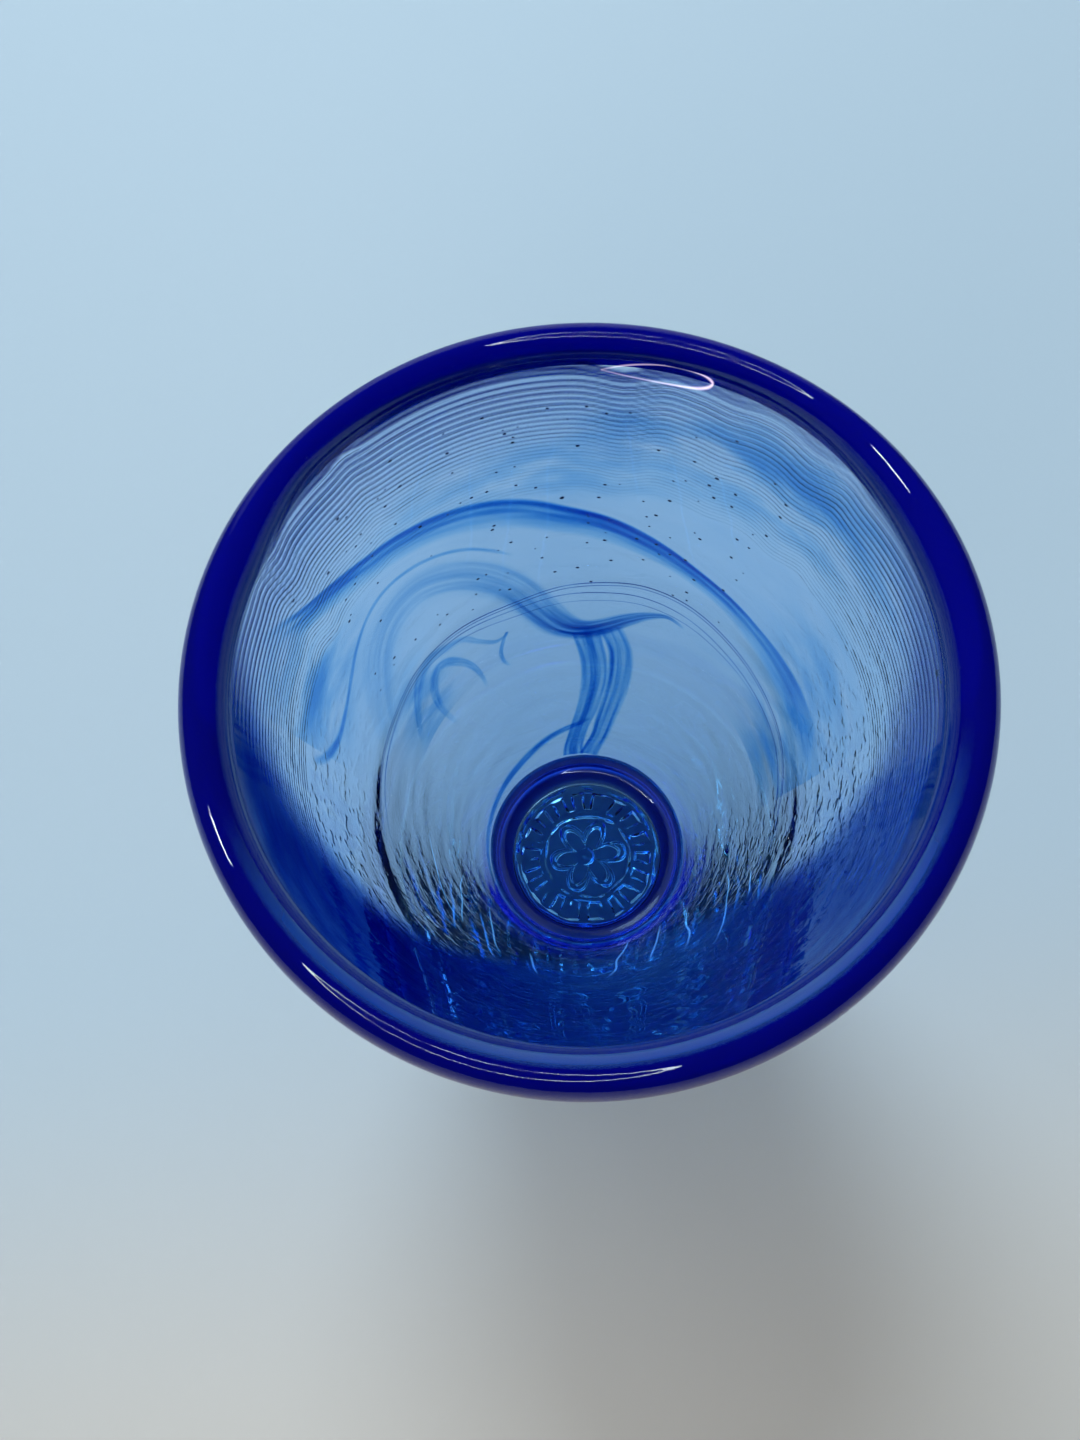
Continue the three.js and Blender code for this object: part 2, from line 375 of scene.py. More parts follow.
def outer_profile():
    below = gather_top - step_width / 2
    above = gather_top + step_width
    way = (0.25 * step_width, step_width)
    ripple_heights = [
        high - f * (high - low)
        for high, low in zip(ripple_edges[:-1], ripple_edges[1:])
        for f in ridge_fractions
    ]
    top = ripple_edges[0]
    return [
        *wall_points(gather_radius, bowl_seat + 1 * MM, below, 42),
        *blend_points((gather_radius(below), below), way, (outer_radius(above), above), way),
        *wall_points(outer_radius, above, ripple_foot - 1 * MM, 18),
        *[(outer_radius(z), z) for z in reversed(ripple_heights)],
        *blend_points(
            (outer_radius(top), top), (0.4 * MM, blend_drop),
            lip_point(-lip_turn), lip_way(-lip_turn, blend_drop)),
    ]


def inner_profile():
    top = lip_seat - 1.6 * MM
    lean = math.atan2(inner_radius(20 * MM) - inner_radius(16 * MM), 4 * MM)
    corner_z = inner_floor + floor_fillet
    corner = (inner_radius(corner_z) - floor_fillet / math.cos(lean), corner_z)
    corner_top = corner_z - floor_fillet * math.sin(lean)
    return [
        *blend_points(
            lip_point(math.pi + lip_turn), lip_way(math.pi + lip_turn, blend_drop),
            (inner_radius(top), top), (-0.4 * MM, -blend_drop)),
        *wall_points(inner_radius, top, 100 * MM, 22),
        *wall_points(inner_radius, 98.5 * MM, corner_top + 0.5 * MM, 34),
        *arc_points(corner, floor_fillet, -lean, -math.pi / 2, 9),
        *[(r, inner_floor) for r in np.linspace(corner[0] - 1.5 * MM, 0, 11)],
    ]


glass_profile = underside_profile() + outer_profile() + lip_profile() + inner_profile()
glass_body = spin_profile("glass_body", glass_profile, 224)

# %% [markdown]
# The spun skin is still machine-true, so its points are moved by rule, as with a sculpting
# brush. These are the rules: how the gather's edge rises and falls, how the ridges of the
# thread wander and kink, how tall each ridge is, and soft noise for the rest of the wall.

# %% Rules for the sculpting
ridge_height = 0.1
ridge_fade = 0.55
near_calm = 0.88
near_calm_width = 62
gather_wave_angle = math.radians(62)
gather_rise_angle = math.radians(-108)


def bump(x):
    return np.exp(-x * x)


def bumps(angle, *places):
    # The sum of soft bumps round the wall: place and width in degrees, and how much
    return sum(much * bump(turned(angle, at) / width) for at, width, much in places)


def gather_uneven(angle):
    rise = np.maximum(0, np.cos(angle - gather_rise_angle)) ** 4
    return gather_wave * np.cos(2 * (angle - gather_wave_angle)) + gather_rise * rise


# Each kink of the ridges: place and width in degrees, and how far up it goes in mm
ripple_kinks = (
    (74, 5, -1.3), (66, 4, 0.6), (54, 4, -0.8), (38, 4, -1.1),
    (30, 3, 0.7), (126, 3, 0.6), (146, 3, -0.9), (152, 3, 0.6))


def ripple_wander(angle):
    wander = 0.22 * np.sin(3 * angle + 0.7) + 0.12 * np.sin(7 * angle + 2.1)
    return (wander + bumps(angle, *ripple_kinks)) * MM


def uneven(points, across, down):
    # Smooth noise that is stretched round the wall, between about -1 and 1
    size = Vector((1 / across, 1 / across, 1 / down))
    return np.array([noise.noise(Vector(point) * size) for point in points])


def ripple_ridge(z, angle):
    ridge = np.zeros_like(z)
    for i, (high, low) in enumerate(zip(ripple_edges[:-1], ripple_edges[1:])):
        part = (high - z) / (high - low)
        inside = (part >= 0) & (part < 1)
        size = ridge_height * (high - low) * (1 - ridge_fade * i / ripple_count)
        ridge[inside] = size * 4 * part[inside] * (1 - part[inside])
    near = bump(turned(angle, -90) / near_calm_width)
    return ridge * (1 - near_calm * near)


print("the ridges kink at", [place for place, _, _ in ripple_kinks], "degrees")

# %% [markdown]
# The rules are used on the outside of the wall, and the noise on both sides. The clear skin is
# drawn in by a hair, so that it stays inside the solids of the frame. Each point also gets a
# value that says how deep the small dents in the glass are there: they show most in the side
# walls, and hardly at the gather's edge.

# %% Sculpt the clear body
outer_waves = 0.06 * MM
inner_waves = 0.03 * MM
seat_allowance = 0.9985


def dent_strength(angle, z, is_outer, is_wall):
    sides = bumps(angle, (-155, 36, 1), (-25, 36, 1), (-90, 60, 0.3))
    level = smooth_step((z - 16 * MM) / (10 * MM))
    level = level * (1 - smooth_step((z - 112 * MM) / (12 * MM)))
    high_part = smooth_step((z - 64 * MM) / (12 * MM))
    at_edge = bump((z - gather_top - gather_uneven(angle)) / (7 * MM))
    outside = level * (0.1 + 0.55 * sides) * (0.18 + 0.82 * high_part) * (1 - 0.9 * at_edge)
    near = bumps(angle, (-90, 60, 0.4), (-32, 22, 0.45))
    return np.where(is_outer, outside, np.where(is_wall, level * near, 0))


def sculpt_glass(piece):
    points = read_points(piece.data)
    angle, radius, z = polar(points)
    is_wall = (z > bowl_seat) & (radius > heel_radius)
    is_outer = is_wall & (radius > inner_radius(z) + lip_wall / 2)

    thinning = np.clip((z - bowl_seat) / (gather_top - bowl_seat), 0, 1) ** 3
    thinning *= 1 - smooth_step((z - gather_top - 2 * MM) / (20 * MM))
    wave = gather_uneven(angle) * thinning
    near_ripples = smooth_step((z - ripple_foot + 12 * MM) / (12 * MM))
    near_ripples *= 1 - smooth_step((z - ripple_top + 2 * MM) / (2.5 * MM))
    wave = wave + ripple_wander(angle) * near_ripples

    below_lip = 1 - smooth_step((z - lip_seat + 4 * MM) / (4 * MM))
    waves = np.where(
        is_outer, outer_waves * uneven(points, 9 * MM, 2.6 * MM),
        inner_waves * uneven(points, 14 * MM, 6 * MM))
    radius = radius + np.where(is_wall, waves * below_lip, 0)

    offset = np.where(is_outer, radius - outer_radius(z) + ripple_ridge(z, angle), 0)
    is_moved = is_outer & (z < lip_seat - 1 * MM)
    new_z = np.where(is_moved, z + wave, z)
    new_radius = np.where(is_moved, outer_radius(new_z) + offset, radius)
    write_points(piece.data, from_polar(angle, new_radius * seat_allowance, new_z))

    paint(piece, "dents", dent_strength(angle, new_z, is_outer, is_wall))
    print("points on the outside of the wall:", int(is_outer.sum()))


sculpt_glass(glass_body)

# %% [markdown]
# The glassmaker pressed a seal into the soft underside. Its relief is given by rule: a border,
# a ring, short bars between them that leave cells, and a small rosette. Noise moves its lines
# a little and wears them down, because pressed glass is never crisp.

# %% Press the seal
seal_depth = 1.3 * MM
seal_radius = recess_radius - 0.5 * MM
seal_border = 15.4 * MM
seal_ring = 10.2 * MM
boss_radius = 2 * MM
cell_count = 18
petal_count = 6


def rib(distance, width):
    return bump(distance / width)


def seal_relief(x, y):
    radius, angle = np.hypot(x, y), np.arctan2(y, x)
    spots = np.stack([x, y, 0 * x], axis=1)
    wobble = uneven(spots, 6 * MM, 6 * MM)
    between = smooth_step((radius - seal_ring) / (1 * MM))
    between = between * smooth_step((seal_border - radius) / (1 * MM))
    cells = np.clip(0.5 + 0.9 * np.cos(cell_count * angle + 1.2 * wobble), 0, 1) * between
    radius = radius + 0.7 * MM * wobble
    petal_reach = (3.4 + 4.6 * np.abs(np.cos(petal_count / 2 * angle))) * MM
    marks = [
        rib(radius - seal_border, 0.7 * MM), 0.8 * rib(radius - seal_ring, 0.8 * MM),
        0.75 * cells, rib(radius - petal_reach, 0.9 * MM),
        np.sqrt(np.clip(1 - (radius / boss_radius) ** 2, 0, 1))]
    worn = 1 + 1.1 * uneven(spots, 3.5 * MM, 3.5 * MM)
    return np.clip(np.max(marks, axis=0) * worn, 0, 1.2)


print("the seal is", round(2 * seal_border / MM, 1), "mm wide")

# %% [markdown]
# The faces of the underside are cut once more, to carry the relief, and their points are
# drawn down by it. No point may come below the ring that the foot stands on.

# %% Draw the seal
lowest_mark = 0.2 * MM
level_slack = 0.05 * MM
bpy.ops.object.mode_set(mode="EDIT")
bpy.ops.mesh.select_mode(type="FACE")
bpy.ops.mesh.select_all(action="DESELECT")
bpy.ops.object.mode_set(mode="OBJECT")
for face in glass_body.data.polygons:
    middle = face.center
    is_low = middle.z < underside + 2 * level_slack
    face.select = is_low and math.hypot(middle.x, middle.y) < seal_radius
bpy.ops.object.mode_set(mode="EDIT")
bpy.ops.mesh.subdivide(number_cuts=1)
bpy.ops.object.mode_set(mode="OBJECT")
points = read_points(glass_body.data)
radius = np.hypot(points[:, 0], points[:, 1])
on_seal = (np.abs(points[:, 2] - underside) < level_slack) & (radius < seal_radius)
drop = seal_depth * seal_relief(points[on_seal, 0], points[on_seal, 1])
points[on_seal, 2] -= np.minimum(drop, underside - lowest_mark)
write_points(glass_body.data, points)
print("points on the seal:", int(on_seal.sum()))

# %% [markdown]
# Coloured glass is tinted through its whole depth, so its colour is in the volume and not on
# the surface: a thin wall is pale, and the thick base is deep blue.

# %% Glass materials
glass_ior = 1.5
inner_ior = 1.0


def new_material(name):
    material = bpy.data.materials.new(name)
    material.use_nodes = True
    return material, material.node_tree.nodes, material.node_tree.links


def set_values(node, **values):
    # Plain values for some inputs of a node, where an underscore stands for a space
    for name, value in values.items():
        node.inputs[name.replace("_", " ")].default_value = value
    return node


def glass_material(name, ior, absorb=None, density=0.0):
    material, nodes, links = new_material(name)
    set_values(
        nodes["Principled BSDF"],
        Transmission_Weight=1, Roughness=0, IOR=ior, Base_Color=(1, 1, 1, 1))
    if absorb:
        volume = nodes.new("ShaderNodeVolumeAbsorption")
        set_values(volume, Color=(*absorb, 1), Density=density)
        links.new(volume.outputs["Volume"], nodes["Material Output"].inputs["Volume"])
    return material


def colour_mix(nodes, first, second):
    # A node that blends two colours; its own inputs are A and B
    node = nodes.new("ShaderNodeMix")
    node.data_type = "RGBA"
    return set_values(node, A=(*first, 1), B=(*second, 1))


def painted(nodes, name):
    # The value that was painted on the points of a piece under this name
    node = nodes.new("ShaderNodeAttribute")
    node.attribute_name = name
    return node.outputs["Fac"]


def dress(piece, material, slot, *nodes):
    piece.data.materials.clear()
    piece.data.materials.append(material)
    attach(piece, "root")
    if nodes:
        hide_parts(*nodes)


def colour_body(name, profile, steps, material, slot, *nodes):
    # A closed body of revolution that gives its colour to the glass round it
    piece = spin_profile(name, profile, steps)
    follow_handmade(piece)
    dress(piece, material, slot, *nodes)


print("glass bends light by", glass_ior, "and the bodies inside it by", inner_ior)

# %% [markdown]
# Blown glass has small dents left by the tools. They catch the light where the wall is seen at
# a low angle. Noise that is cut off below a level gives dents that stand apart, and the value
# painted on the points says where they are deep.

# %% Clear glass
clear_tint = (0.0, 0.7, 0.95)
clear_density = 40
dent_depth = 0.09 * MM
dent_scale = (420, 420, 560)
dent_start, dent_full = 0.48, 0.72


def fine_ripples(material, depth):
    nodes, links = material.node_tree.nodes, material.node_tree.links
    place = nodes.new("ShaderNodeTexCoord")
    mapping = set_values(nodes.new("ShaderNodeMapping"), Scale=dent_scale)
    dents = set_values(nodes.new("ShaderNodeTexNoise"), Scale=1, Detail=1)
    apart = set_values(nodes.new("ShaderNodeMapRange"), From_Min=dent_start, From_Max=dent_full)
    apart.interpolation_type = "SMOOTHSTEP"
    bump_node = set_values(nodes.new("ShaderNodeBump"), Distance=depth)
    links.new(place.outputs["Object"], mapping.inputs["Vector"])
    links.new(mapping.outputs["Vector"], dents.inputs["Vector"])
    height = nodes.new("ShaderNodeMath")
    height.operation = "MULTIPLY"
    links.new(dents.outputs["Fac"], apart.inputs["Value"])
    links.new(apart.outputs["Result"], height.inputs[0])
    links.new(painted(nodes, "dents"), height.inputs[1])
    links.new(height.outputs["Value"], bump_node.inputs["Height"])
    links.new(bump_node.outputs["Normal"], nodes["Principled BSDF"].inputs["Normal"])


clear_glass = glass_material("clear_blue_glass", glass_ior, clear_tint, clear_density)
fine_ripples(clear_glass, dent_depth)
dress(
    glass_body, clear_glass, "clear_blue_glass",
    "bowl_wall", "lower_gather", "foot", "base_seal")
print("the clear body has", len(glass_body.data.polygons), "faces")

# %% [markdown]
# The cup looks as if it was blown from pale blue glass and then dipped in clear glass: most of
# its colour lies behind the inner face, as a casing. A body that lies inside another one has no
# surface of its own to see, so its glass has an IOR of exactly 1 and only its colour counts.

# %% Blue casing
casing_skin = 0.15 * MM
casing_wall = 2.2 * MM
casing_top = 128.5 * MM
casing_tint = (0.0, 0.47, 0.992)
casing_density = 170


def offset_points(profile, depth):
    out = []
    for i, (r, z) in enumerate(profile):
        before, after = profile[max(0, i - 1)], profile[min(len(profile) - 1, i + 1)]
        way = Vector((after[0] - before[0], after[1] - before[1])).normalized()
        out.append((max(0, r - way.y * depth), z + way.x * depth))
    return out


inner = [(r, z) for r, z in inner_profile() if z < casing_top]
casing_profile = offset_points(inner, casing_skin + casing_wall)[::-1]
casing_profile += offset_points(inner, casing_skin)
casing_glass = glass_material("casing_glass", inner_ior, casing_tint, casing_density)
colour_body("blue_casing", casing_profile, 96, casing_glass, "clear_blue_glass")

# %% [markdown]
# The lip is a bead of cobalt glass that was laid on the edge and melted round. Its colour fills
# the bead and ends in a short tongue in the wall. Cobalt this deep gives back a little blue of
# its own, so its surface lets only part of the light through, and it never goes black.

# %% Lip colour
skin = 0.2 * MM
tongue_top = 130 * MM
tongue_foot = 128.2 * MM
tongue_half = 0.8 * MM
tongue_tip = 0.01 * MM
bead_reach = math.radians(35)
cobalt_tint = (0.0, 0.27, 0.994)
cobalt_density = 3000
cobalt_surface = (0.0, 0.003, 0.6)
cobalt_through = 0.4


def wall_middle(z):
    return (inner_radius(z) + outer_radius(z)) / 2


def lip_colour_profile():
    size = 1 - skin / (lip_thickness / 2)
    heights = np.linspace(tongue_top - 0.5 * MM, tongue_foot, 12)
    shares = (heights - tongue_foot) / (tongue_top - tongue_foot)
    half = tongue_half * shares**1.5 + tongue_tip
    arc = np.linspace(-bead_reach, math.pi + bead_reach, 28)
    return [
        *[(wall_middle(z) + h, z) for z, h in zip(heights[::-1], half[::-1])],
        *[lip_point(a, size) for a in arc],
        *[(wall_middle(z) - h, z) for z, h in zip(heights, half)],
        (wall_middle(tongue_foot) + half[-1], tongue_foot),
    ]


cobalt_glass = glass_material("cobalt_glass", inner_ior, cobalt_tint, cobalt_density)
set_values(
    cobalt_glass.node_tree.nodes["Principled BSDF"],
    Base_Color=(*cobalt_surface, 1), Transmission_Weight=cobalt_through)
colour_body("lip_colour", lip_colour_profile(), 120, cobalt_glass, "cobalt_glass", "lip_wrap")

# %% [markdown]
# Where the wall turns into the floor, a ring of the same cobalt was folded in as the cup was
# gathered. It is seen edge on from above, as a dark ring round the floor.

# %% Heel colour
heel_low, heel_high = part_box("heel_ring")
ring_inside = 16.2 * MM
ring_outside = 23.4 * MM
ring_low = heel_low.z + 0.1 * MM
ring_high = heel_high.z - 0.05 * MM
print("the heel ring lies from", round(ring_low / MM, 1), "to", round(ring_high / MM, 1), "mm")
heel_profile = [
    (ring_inside, ring_low + 1 * MM), (ring_inside + 1 * MM, ring_low),
    (ring_outside - 0.6 * MM, ring_low), (ring_outside, ring_low + 0.6 * MM),
    (ring_outside, ring_high - 1 * MM), (ring_outside - 1 * MM, ring_high),
    (ring_inside + 1.2 * MM, ring_high), (ring_inside, ring_high - 1 * MM),
    (ring_inside, ring_low + 1 * MM)]
heel_glass = glass_material("heel_glass", inner_ior, absorb=(0.0, 0.42, 0.975), density=1000)
colour_body("heel_colour", heel_profile, 96, heel_glass, "cobalt_glass", "heel_ring")

# %% [markdown]
# Seen from above, the thick base is a much deeper blue than the wall. A disc of blue lies under
# the floor, over the seal: its blue is partly the deep colour of the thick base and partly painted
# shade of the darker table under the foot.

# %% Floor colour and painted shade under the foot
floor_colour_radius = 15.6 * MM
floor_colour_low = 4.5 * MM
floor_colour_high = 11.5 * MM
floor_profile = [
    (0, floor_colour_low), (floor_colour_radius - 0.6 * MM, floor_colour_low),
    (floor_colour_radius, floor_colour_low + 0.8 * MM),
    (floor_colour_radius, floor_colour_high - 0.8 * MM),
    (floor_colour_radius - 0.6 * MM, floor_colour_high), (0, floor_colour_high)]
deep_base_and_shade = spin_profile("deep_base_and_shade", floor_profile, 96)
# Its absorption is partly the thick base's own colour and partly painted shade under the foot
deep_base_and_shade_glass = glass_material("deep_base_and_shade_glass", inner_ior, absorb=(0.0, 0.68, 0.985), density=95)
dress(deep_base_and_shade, deep_base_and_shade_glass, "seal_glass")

# %% [markdown]
# The trails are smoke: thin films of cobalt, drawn out as the cup was blown. Their colour
# depends on how much cobalt the light crosses, so each film carries that as a value at every
# point, and one shared group turns it into colour. Twice the cobalt squares the tint.

# %% Cobalt smoke
smoke = bpy.data.node_groups.new("cobalt_smoke", "ShaderNodeTree")
smoke_inputs = {"Pattern": "Vector", "Density": "Float", "Tint": "Color", "Streaks": "Float"}
for name, kind in smoke_inputs.items():
    smoke.interface.new_socket(name, in_out="INPUT", socket_type="NodeSocket" + kind)
smoke.interface.new_socket("Colour", in_out="OUTPUT", socket_type="NodeSocketColor")
group_in = smoke.nodes.new("NodeGroupInput")
group_out = smoke.nodes.new("NodeGroupOutput")
wisps = set_values(smoke.nodes.new("ShaderNodeTexNoise"), Scale=1, Detail=3)
spread = smoke.nodes.new("ShaderNodeMapRange")
set_values(spread, From_Min=0.35, From_Max=0.65, To_Min=-1, To_Max=1)
depth = smoke.nodes.new("ShaderNodeMath")
depth.operation = "MULTIPLY_ADD"
depth.inputs[2].default_value = 1
cobalt = smoke.nodes.new("ShaderNodeMath")
cobalt.operation = "MULTIPLY"
power = smoke.nodes.new("ShaderNodeGamma")
for start, end in (
    (group_in.outputs["Pattern"], wisps.inputs["Vector"]),
    (wisps.outputs["Fac"], spread.inputs["Value"]),
    (spread.outputs["Result"], depth.inputs[0]),
    (group_in.outputs["Streaks"], depth.inputs[1]),
    (depth.outputs["Value"], cobalt.inputs[0]),
    (group_in.outputs["Density"], cobalt.inputs[1]),
    (group_in.outputs["Tint"], power.inputs["Color"]),
    (cobalt.outputs["Value"], power.inputs["Gamma"]),
    (power.outputs["Color"], group_out.inputs["Colour"]),
):
    smoke.links.new(start, end)
print("inputs of the smoke group:", list(smoke_inputs))

# %% [markdown]
# Each material that uses the group reads its own density from the points of its piece, and has
# its own tint and its own size of streaks along and across the film.

# %% Smoke materials
smoke_least, smoke_most = 0.002, 8


def smoke_material(name, tint, streaks, scale, follow="UV"):
    material = glass_material(name, inner_ior)
    nodes, links = material.node_tree.nodes, material.node_tree.links
    place = nodes.new("ShaderNodeTexCoord")
    mapping = set_values(nodes.new("ShaderNodeMapping"), Scale=scale)
    colour = nodes.new("ShaderNodeGroup")
    colour.node_tree = smoke
    set_values(colour, Tint=(*tint, 1), Streaks=streaks)
    links.new(place.outputs[follow], mapping.inputs["Vector"])
    links.new(mapping.outputs["Vector"], colour.inputs["Pattern"])
    links.new(painted(nodes, "smoke"), colour.inputs["Density"])
    links.new(colour.outputs["Colour"], nodes["Principled BSDF"].inputs["Base Color"])
    return material


def set_smoke(piece, density):
    paint(piece, "smoke", np.clip(density, smoke_least, smoke_most))


print("smoke runs from", smoke_least, "to", smoke_most)

# %% [markdown]
# Below the bead, the cobalt thins out into the wall. On the near side it reaches far down and
# makes the wall deep blue. Elsewhere it ends in fine lines, one for each turn of the thread.
# The tables say, for angles round the wall, how far down the navy band and the veil reach, and
# how much of the wall the veil covers there.

# %% Reach of the veil
band_feet_at = (
    (-180, 125.2), (-165, 123), (-135, 123), (-120, 122), (-90, 120.6), (-60, 121),
    (-45, 121.9), (-30, 120.3), (-15, 123.6), (0, 125.4), (15, 127.4), (30, 129.6),
    (150, 128.6), (165, 126.6), (180, 125.2))
veil_reach = (
    (-180, 108, 0.9), (-165, 94, 1), (-150, 82, 1), (-135, 64, 1), (-120, 38, 1),
    (-90, 20, 0.95), (-60, 22, 0.9), (-45, 44, 0.8), (-30, 80, 0.6), (-15, 100, 0.5),
    (0, 112, 0.4), (15, 120, 0.3), (60, 128, 0), (150, 128, 0), (165, 118, 0.5),
    (180, 108, 0.9))
band_angles, band_feet = zip(*band_feet_at)
veil_angles, veil_levels, veil_covers = zip(*veil_reach)


def near_side(angle):
    return smooth_step((np.abs(turned(angle, 90)) / 180 - 0.52) / 0.28)


def wall_cover(angle, z):
    degrees = np.degrees(angle)
    foot = np.interp(degrees, veil_angles, veil_levels)
    rise = smooth_step((z / MM - foot) / (9 + 0.27 * (130 - foot)))
    return np.interp(degrees, veil_angles, veil_covers) * rise


print("the veil reaches down to", min(veil_levels), "mm")

# %% [markdown]
# The lines follow the turns of the thread, so they wander and kink as the ridges do. The first
# ones are wide and dark, and each next one is finer and paler. The veil is deep blue near the
# lip and paler below it, and the band under the bead is navy.

# %% Cobalt in the veil
line_width = 0.27
line_narrowing = 0.006
line_count = 24
band_smoke = 6
line_levels = [ripple_top + 0.1 * MM, ripple_top - 0.62 * MM, *ripple_edges[1:]]


def thread_lines(angle, z):
    lines = np.zeros_like(z)
    level = z - ripple_wander(angle)
    for i, low in enumerate(line_levels):
        line = bump((level - low) / ((line_width - line_narrowing * i) * MM))
        lines += line * max(0, 1 - i / line_count) ** 1.5
    return np.minimum(1, lines)


def veil_values(angle, z):
    level = z / MM
    foot = np.interp(np.degrees(angle), band_angles, band_feet)
    band = smooth_step((level - foot + 1) / 2.5)
    calm = 1 - 0.6 * bump(turned(angle, 35) / 30) - 0.9 * near_side(angle)
    lines = thread_lines(angle, z) * calm
    cover = 1 - (1 - band) * (1 - lines) * (1 - wall_cover(angle, z))
    high = smooth_step((level - 58) / 44)
    deep = 1.1 + (2 + 0.8 * bump(turned(angle, -150) / 50)) * high
    return np.maximum(band_smoke * np.maximum(band, lines), deep), cover


def cover_material(name, tint, streaks, scale, through):
    # Smoke that is thick enough to give back some light of its own colour
    material = smoke_material(name, tint, streaks, scale, "Object")
    nodes, links = material.node_tree.nodes, material.node_tree.links
    nodes["Principled BSDF"].inputs["Transmission Weight"].default_value = through
    links.new(painted(nodes, "cover"), nodes["Principled BSDF"].inputs["Alpha"])
    return material


print("lines in the veil:", line_count)

# %% [markdown]
# The veil is a thin closed body in the middle of the wall. On the near side it lies closer to
# the inner face, where the eye meets it before the dents of the outer face.

# %% Lip veil
veil_foot = 18 * MM
veil_top = 130.4 * MM
veil_fine = 100 * MM
veil_half = 0.1 * MM
near_shift = 0.32

veil_heights = np.concatenate([
    np.linspace(veil_foot, veil_fine, 40)[:-1], np.linspace(veil_fine, veil_top, 110)])
veil_radii = [wall_middle(z) for z in veil_heights]
lip_veil = spin_profile("lip_veil", thin_loop(veil_radii, veil_heights, veil_half), 200)
angle, radius, z = polar(read_points(lip_veil.data))
density, cover = veil_values(angle, z)
set_smoke(lip_veil, density)
paint(lip_veil, "cover", np.clip(cover, 0, 1))
radius = radius - near_shift * near_side(angle) * (outer_radius(z) - inner_radius(z))
write_points(lip_veil.data, from_polar(angle, radius, z))
veil_glass = cover_material(
    "veil_glass", (0.1, 0.37, 0.87), streaks=0.3, scale=(120, 120, 600), through=0.3)
dress(lip_veil, veil_glass, "cobalt_glass")

# %% [markdown]
# The near wall is seen at a very low angle, where glass is almost a mirror. In the photograph
# it is deep blue all the same, so it seems to mirror something blue. A clear blue film that
# lies a hair's breadth in front of the wall stands in for that.

# %% Near film, a painted reflection
film_gap = 0.22 * MM
film_half = 0.03 * MM
film_low, film_high = 40 * MM, 126 * MM
# Where the painted reflection is deepest: angle and width in degrees, and how deep its blue
reflection_clouds = ((-160, 42, 0.6), (-32, 18, 0.3))
film_heights = np.linspace(film_low, film_high, 50)
film_radii = [inner_radius(z) - film_gap for z in film_heights]
near_reflection_film = spin_profile("near_reflection_film", thin_loop(film_radii, film_heights, film_half), 120)
angle, radius, z = polar(read_points(near_reflection_film.data))
degrees = np.degrees(angle)
film_foot = np.interp(degrees, veil_angles, veil_levels)
film_reach = np.interp(degrees, veil_angles, veil_covers)
film_rise = smooth_step((z / MM - film_foot) / 22)
film_fade = smooth_step((film_high - z) / (5 * MM))
# The blue of the painted reflection rises from the foot of the veil and fades out below the lip
set_smoke(near_reflection_film, bumps(angle, *reflection_clouds) * film_reach * film_rise * film_fade)
write_points(near_reflection_film.data, from_polar(angle, radius, z))
# Its glass carries the painted reflection as a blue tint
reflection_film_glass = smoke_material(
    "reflection_film_glass", (0.06, 0.26, 0.92), streaks=0.3, scale=(120, 120, 600), follow="Object")
dress(near_reflection_film, reflection_film_glass, "cobalt_glass")

# %% [markdown]
# On the near side, the inner flank of the bead shows a paler band of blue. This is a painted
# reflection: a pale blue film under the skin of the bead stands in for the cup's inside mirrored
# in that flank.

# %% Lip band, a painted reflection
band_start = math.radians(96)
band_end = math.radians(134)
band_skin = 0.16 * MM
band_half = 0.04 * MM
band_arc = np.linspace(band_start, band_end, 16)
sizes = [1 - (band_skin + s * band_half) / (lip_thickness / 2) for s in (-1, 1)]
reflection_band_profile = [lip_point(a, sizes[0]) for a in band_arc]
reflection_band_profile += [lip_point(a, sizes[1]) for a in band_arc[::-1]]
lip_reflection_band = spin_profile("lip_reflection_band", reflection_band_profile + reflection_band_profile[:1], 120)
angle, radius, z = polar(read_points(lip_reflection_band.data))
turn_at = np.arctan2(z - lip_centre, radius - lip_middle)
share = (turn_at - band_start) / (band_end - band_start)
# How deep the blue of the painted reflection is across the flank of the bead
set_smoke(lip_reflection_band, 1.3 - 0.5 * bump((share - 0.8) / 0.2))
# The painted reflection shows only on the near side of the lip
reach = smooth_step((75 - np.abs(turned(angle, -92))) / 30)
paint(lip_reflection_band, "cover", 0.8 * reach * smooth_step(share / 0.35) * smooth_step((1 - share) / 0.12))
follow_handmade(lip_reflection_band)
reflection_band_glass = cover_material(
    "reflection_band_glass", (0.1, 0.32, 0.95), streaks=0.1, scale=(60, 60, 60), through=0.3)
dress(lip_reflection_band, reflection_band_glass, "cobalt_glass")

# %% [markdown]
# Each trail is laid on the wall as a ribbon. It starts as a flat grid whose long way becomes
# the path of the trail and whose short way becomes its width. A row of places gives the path:
# angle in degrees, height and half width in millimetres, and how much cobalt lies there.

# %% Path of a ribbon
least_half = 0.03
least_film = 0.15


def smooth_path(places, count):
    # A curve through all places, with each slope taken from the neighbours
    places = np.array(places, dtype=float)
    slope = np.gradient(places, axis=0)
    t = np.linspace(0, len(places) - 1, count)
    i = np.minimum(t.astype(int), len(places) - 2)
    return hermite((t - i)[:, None], places[i], slope[i], places[i + 1], slope[i + 1])


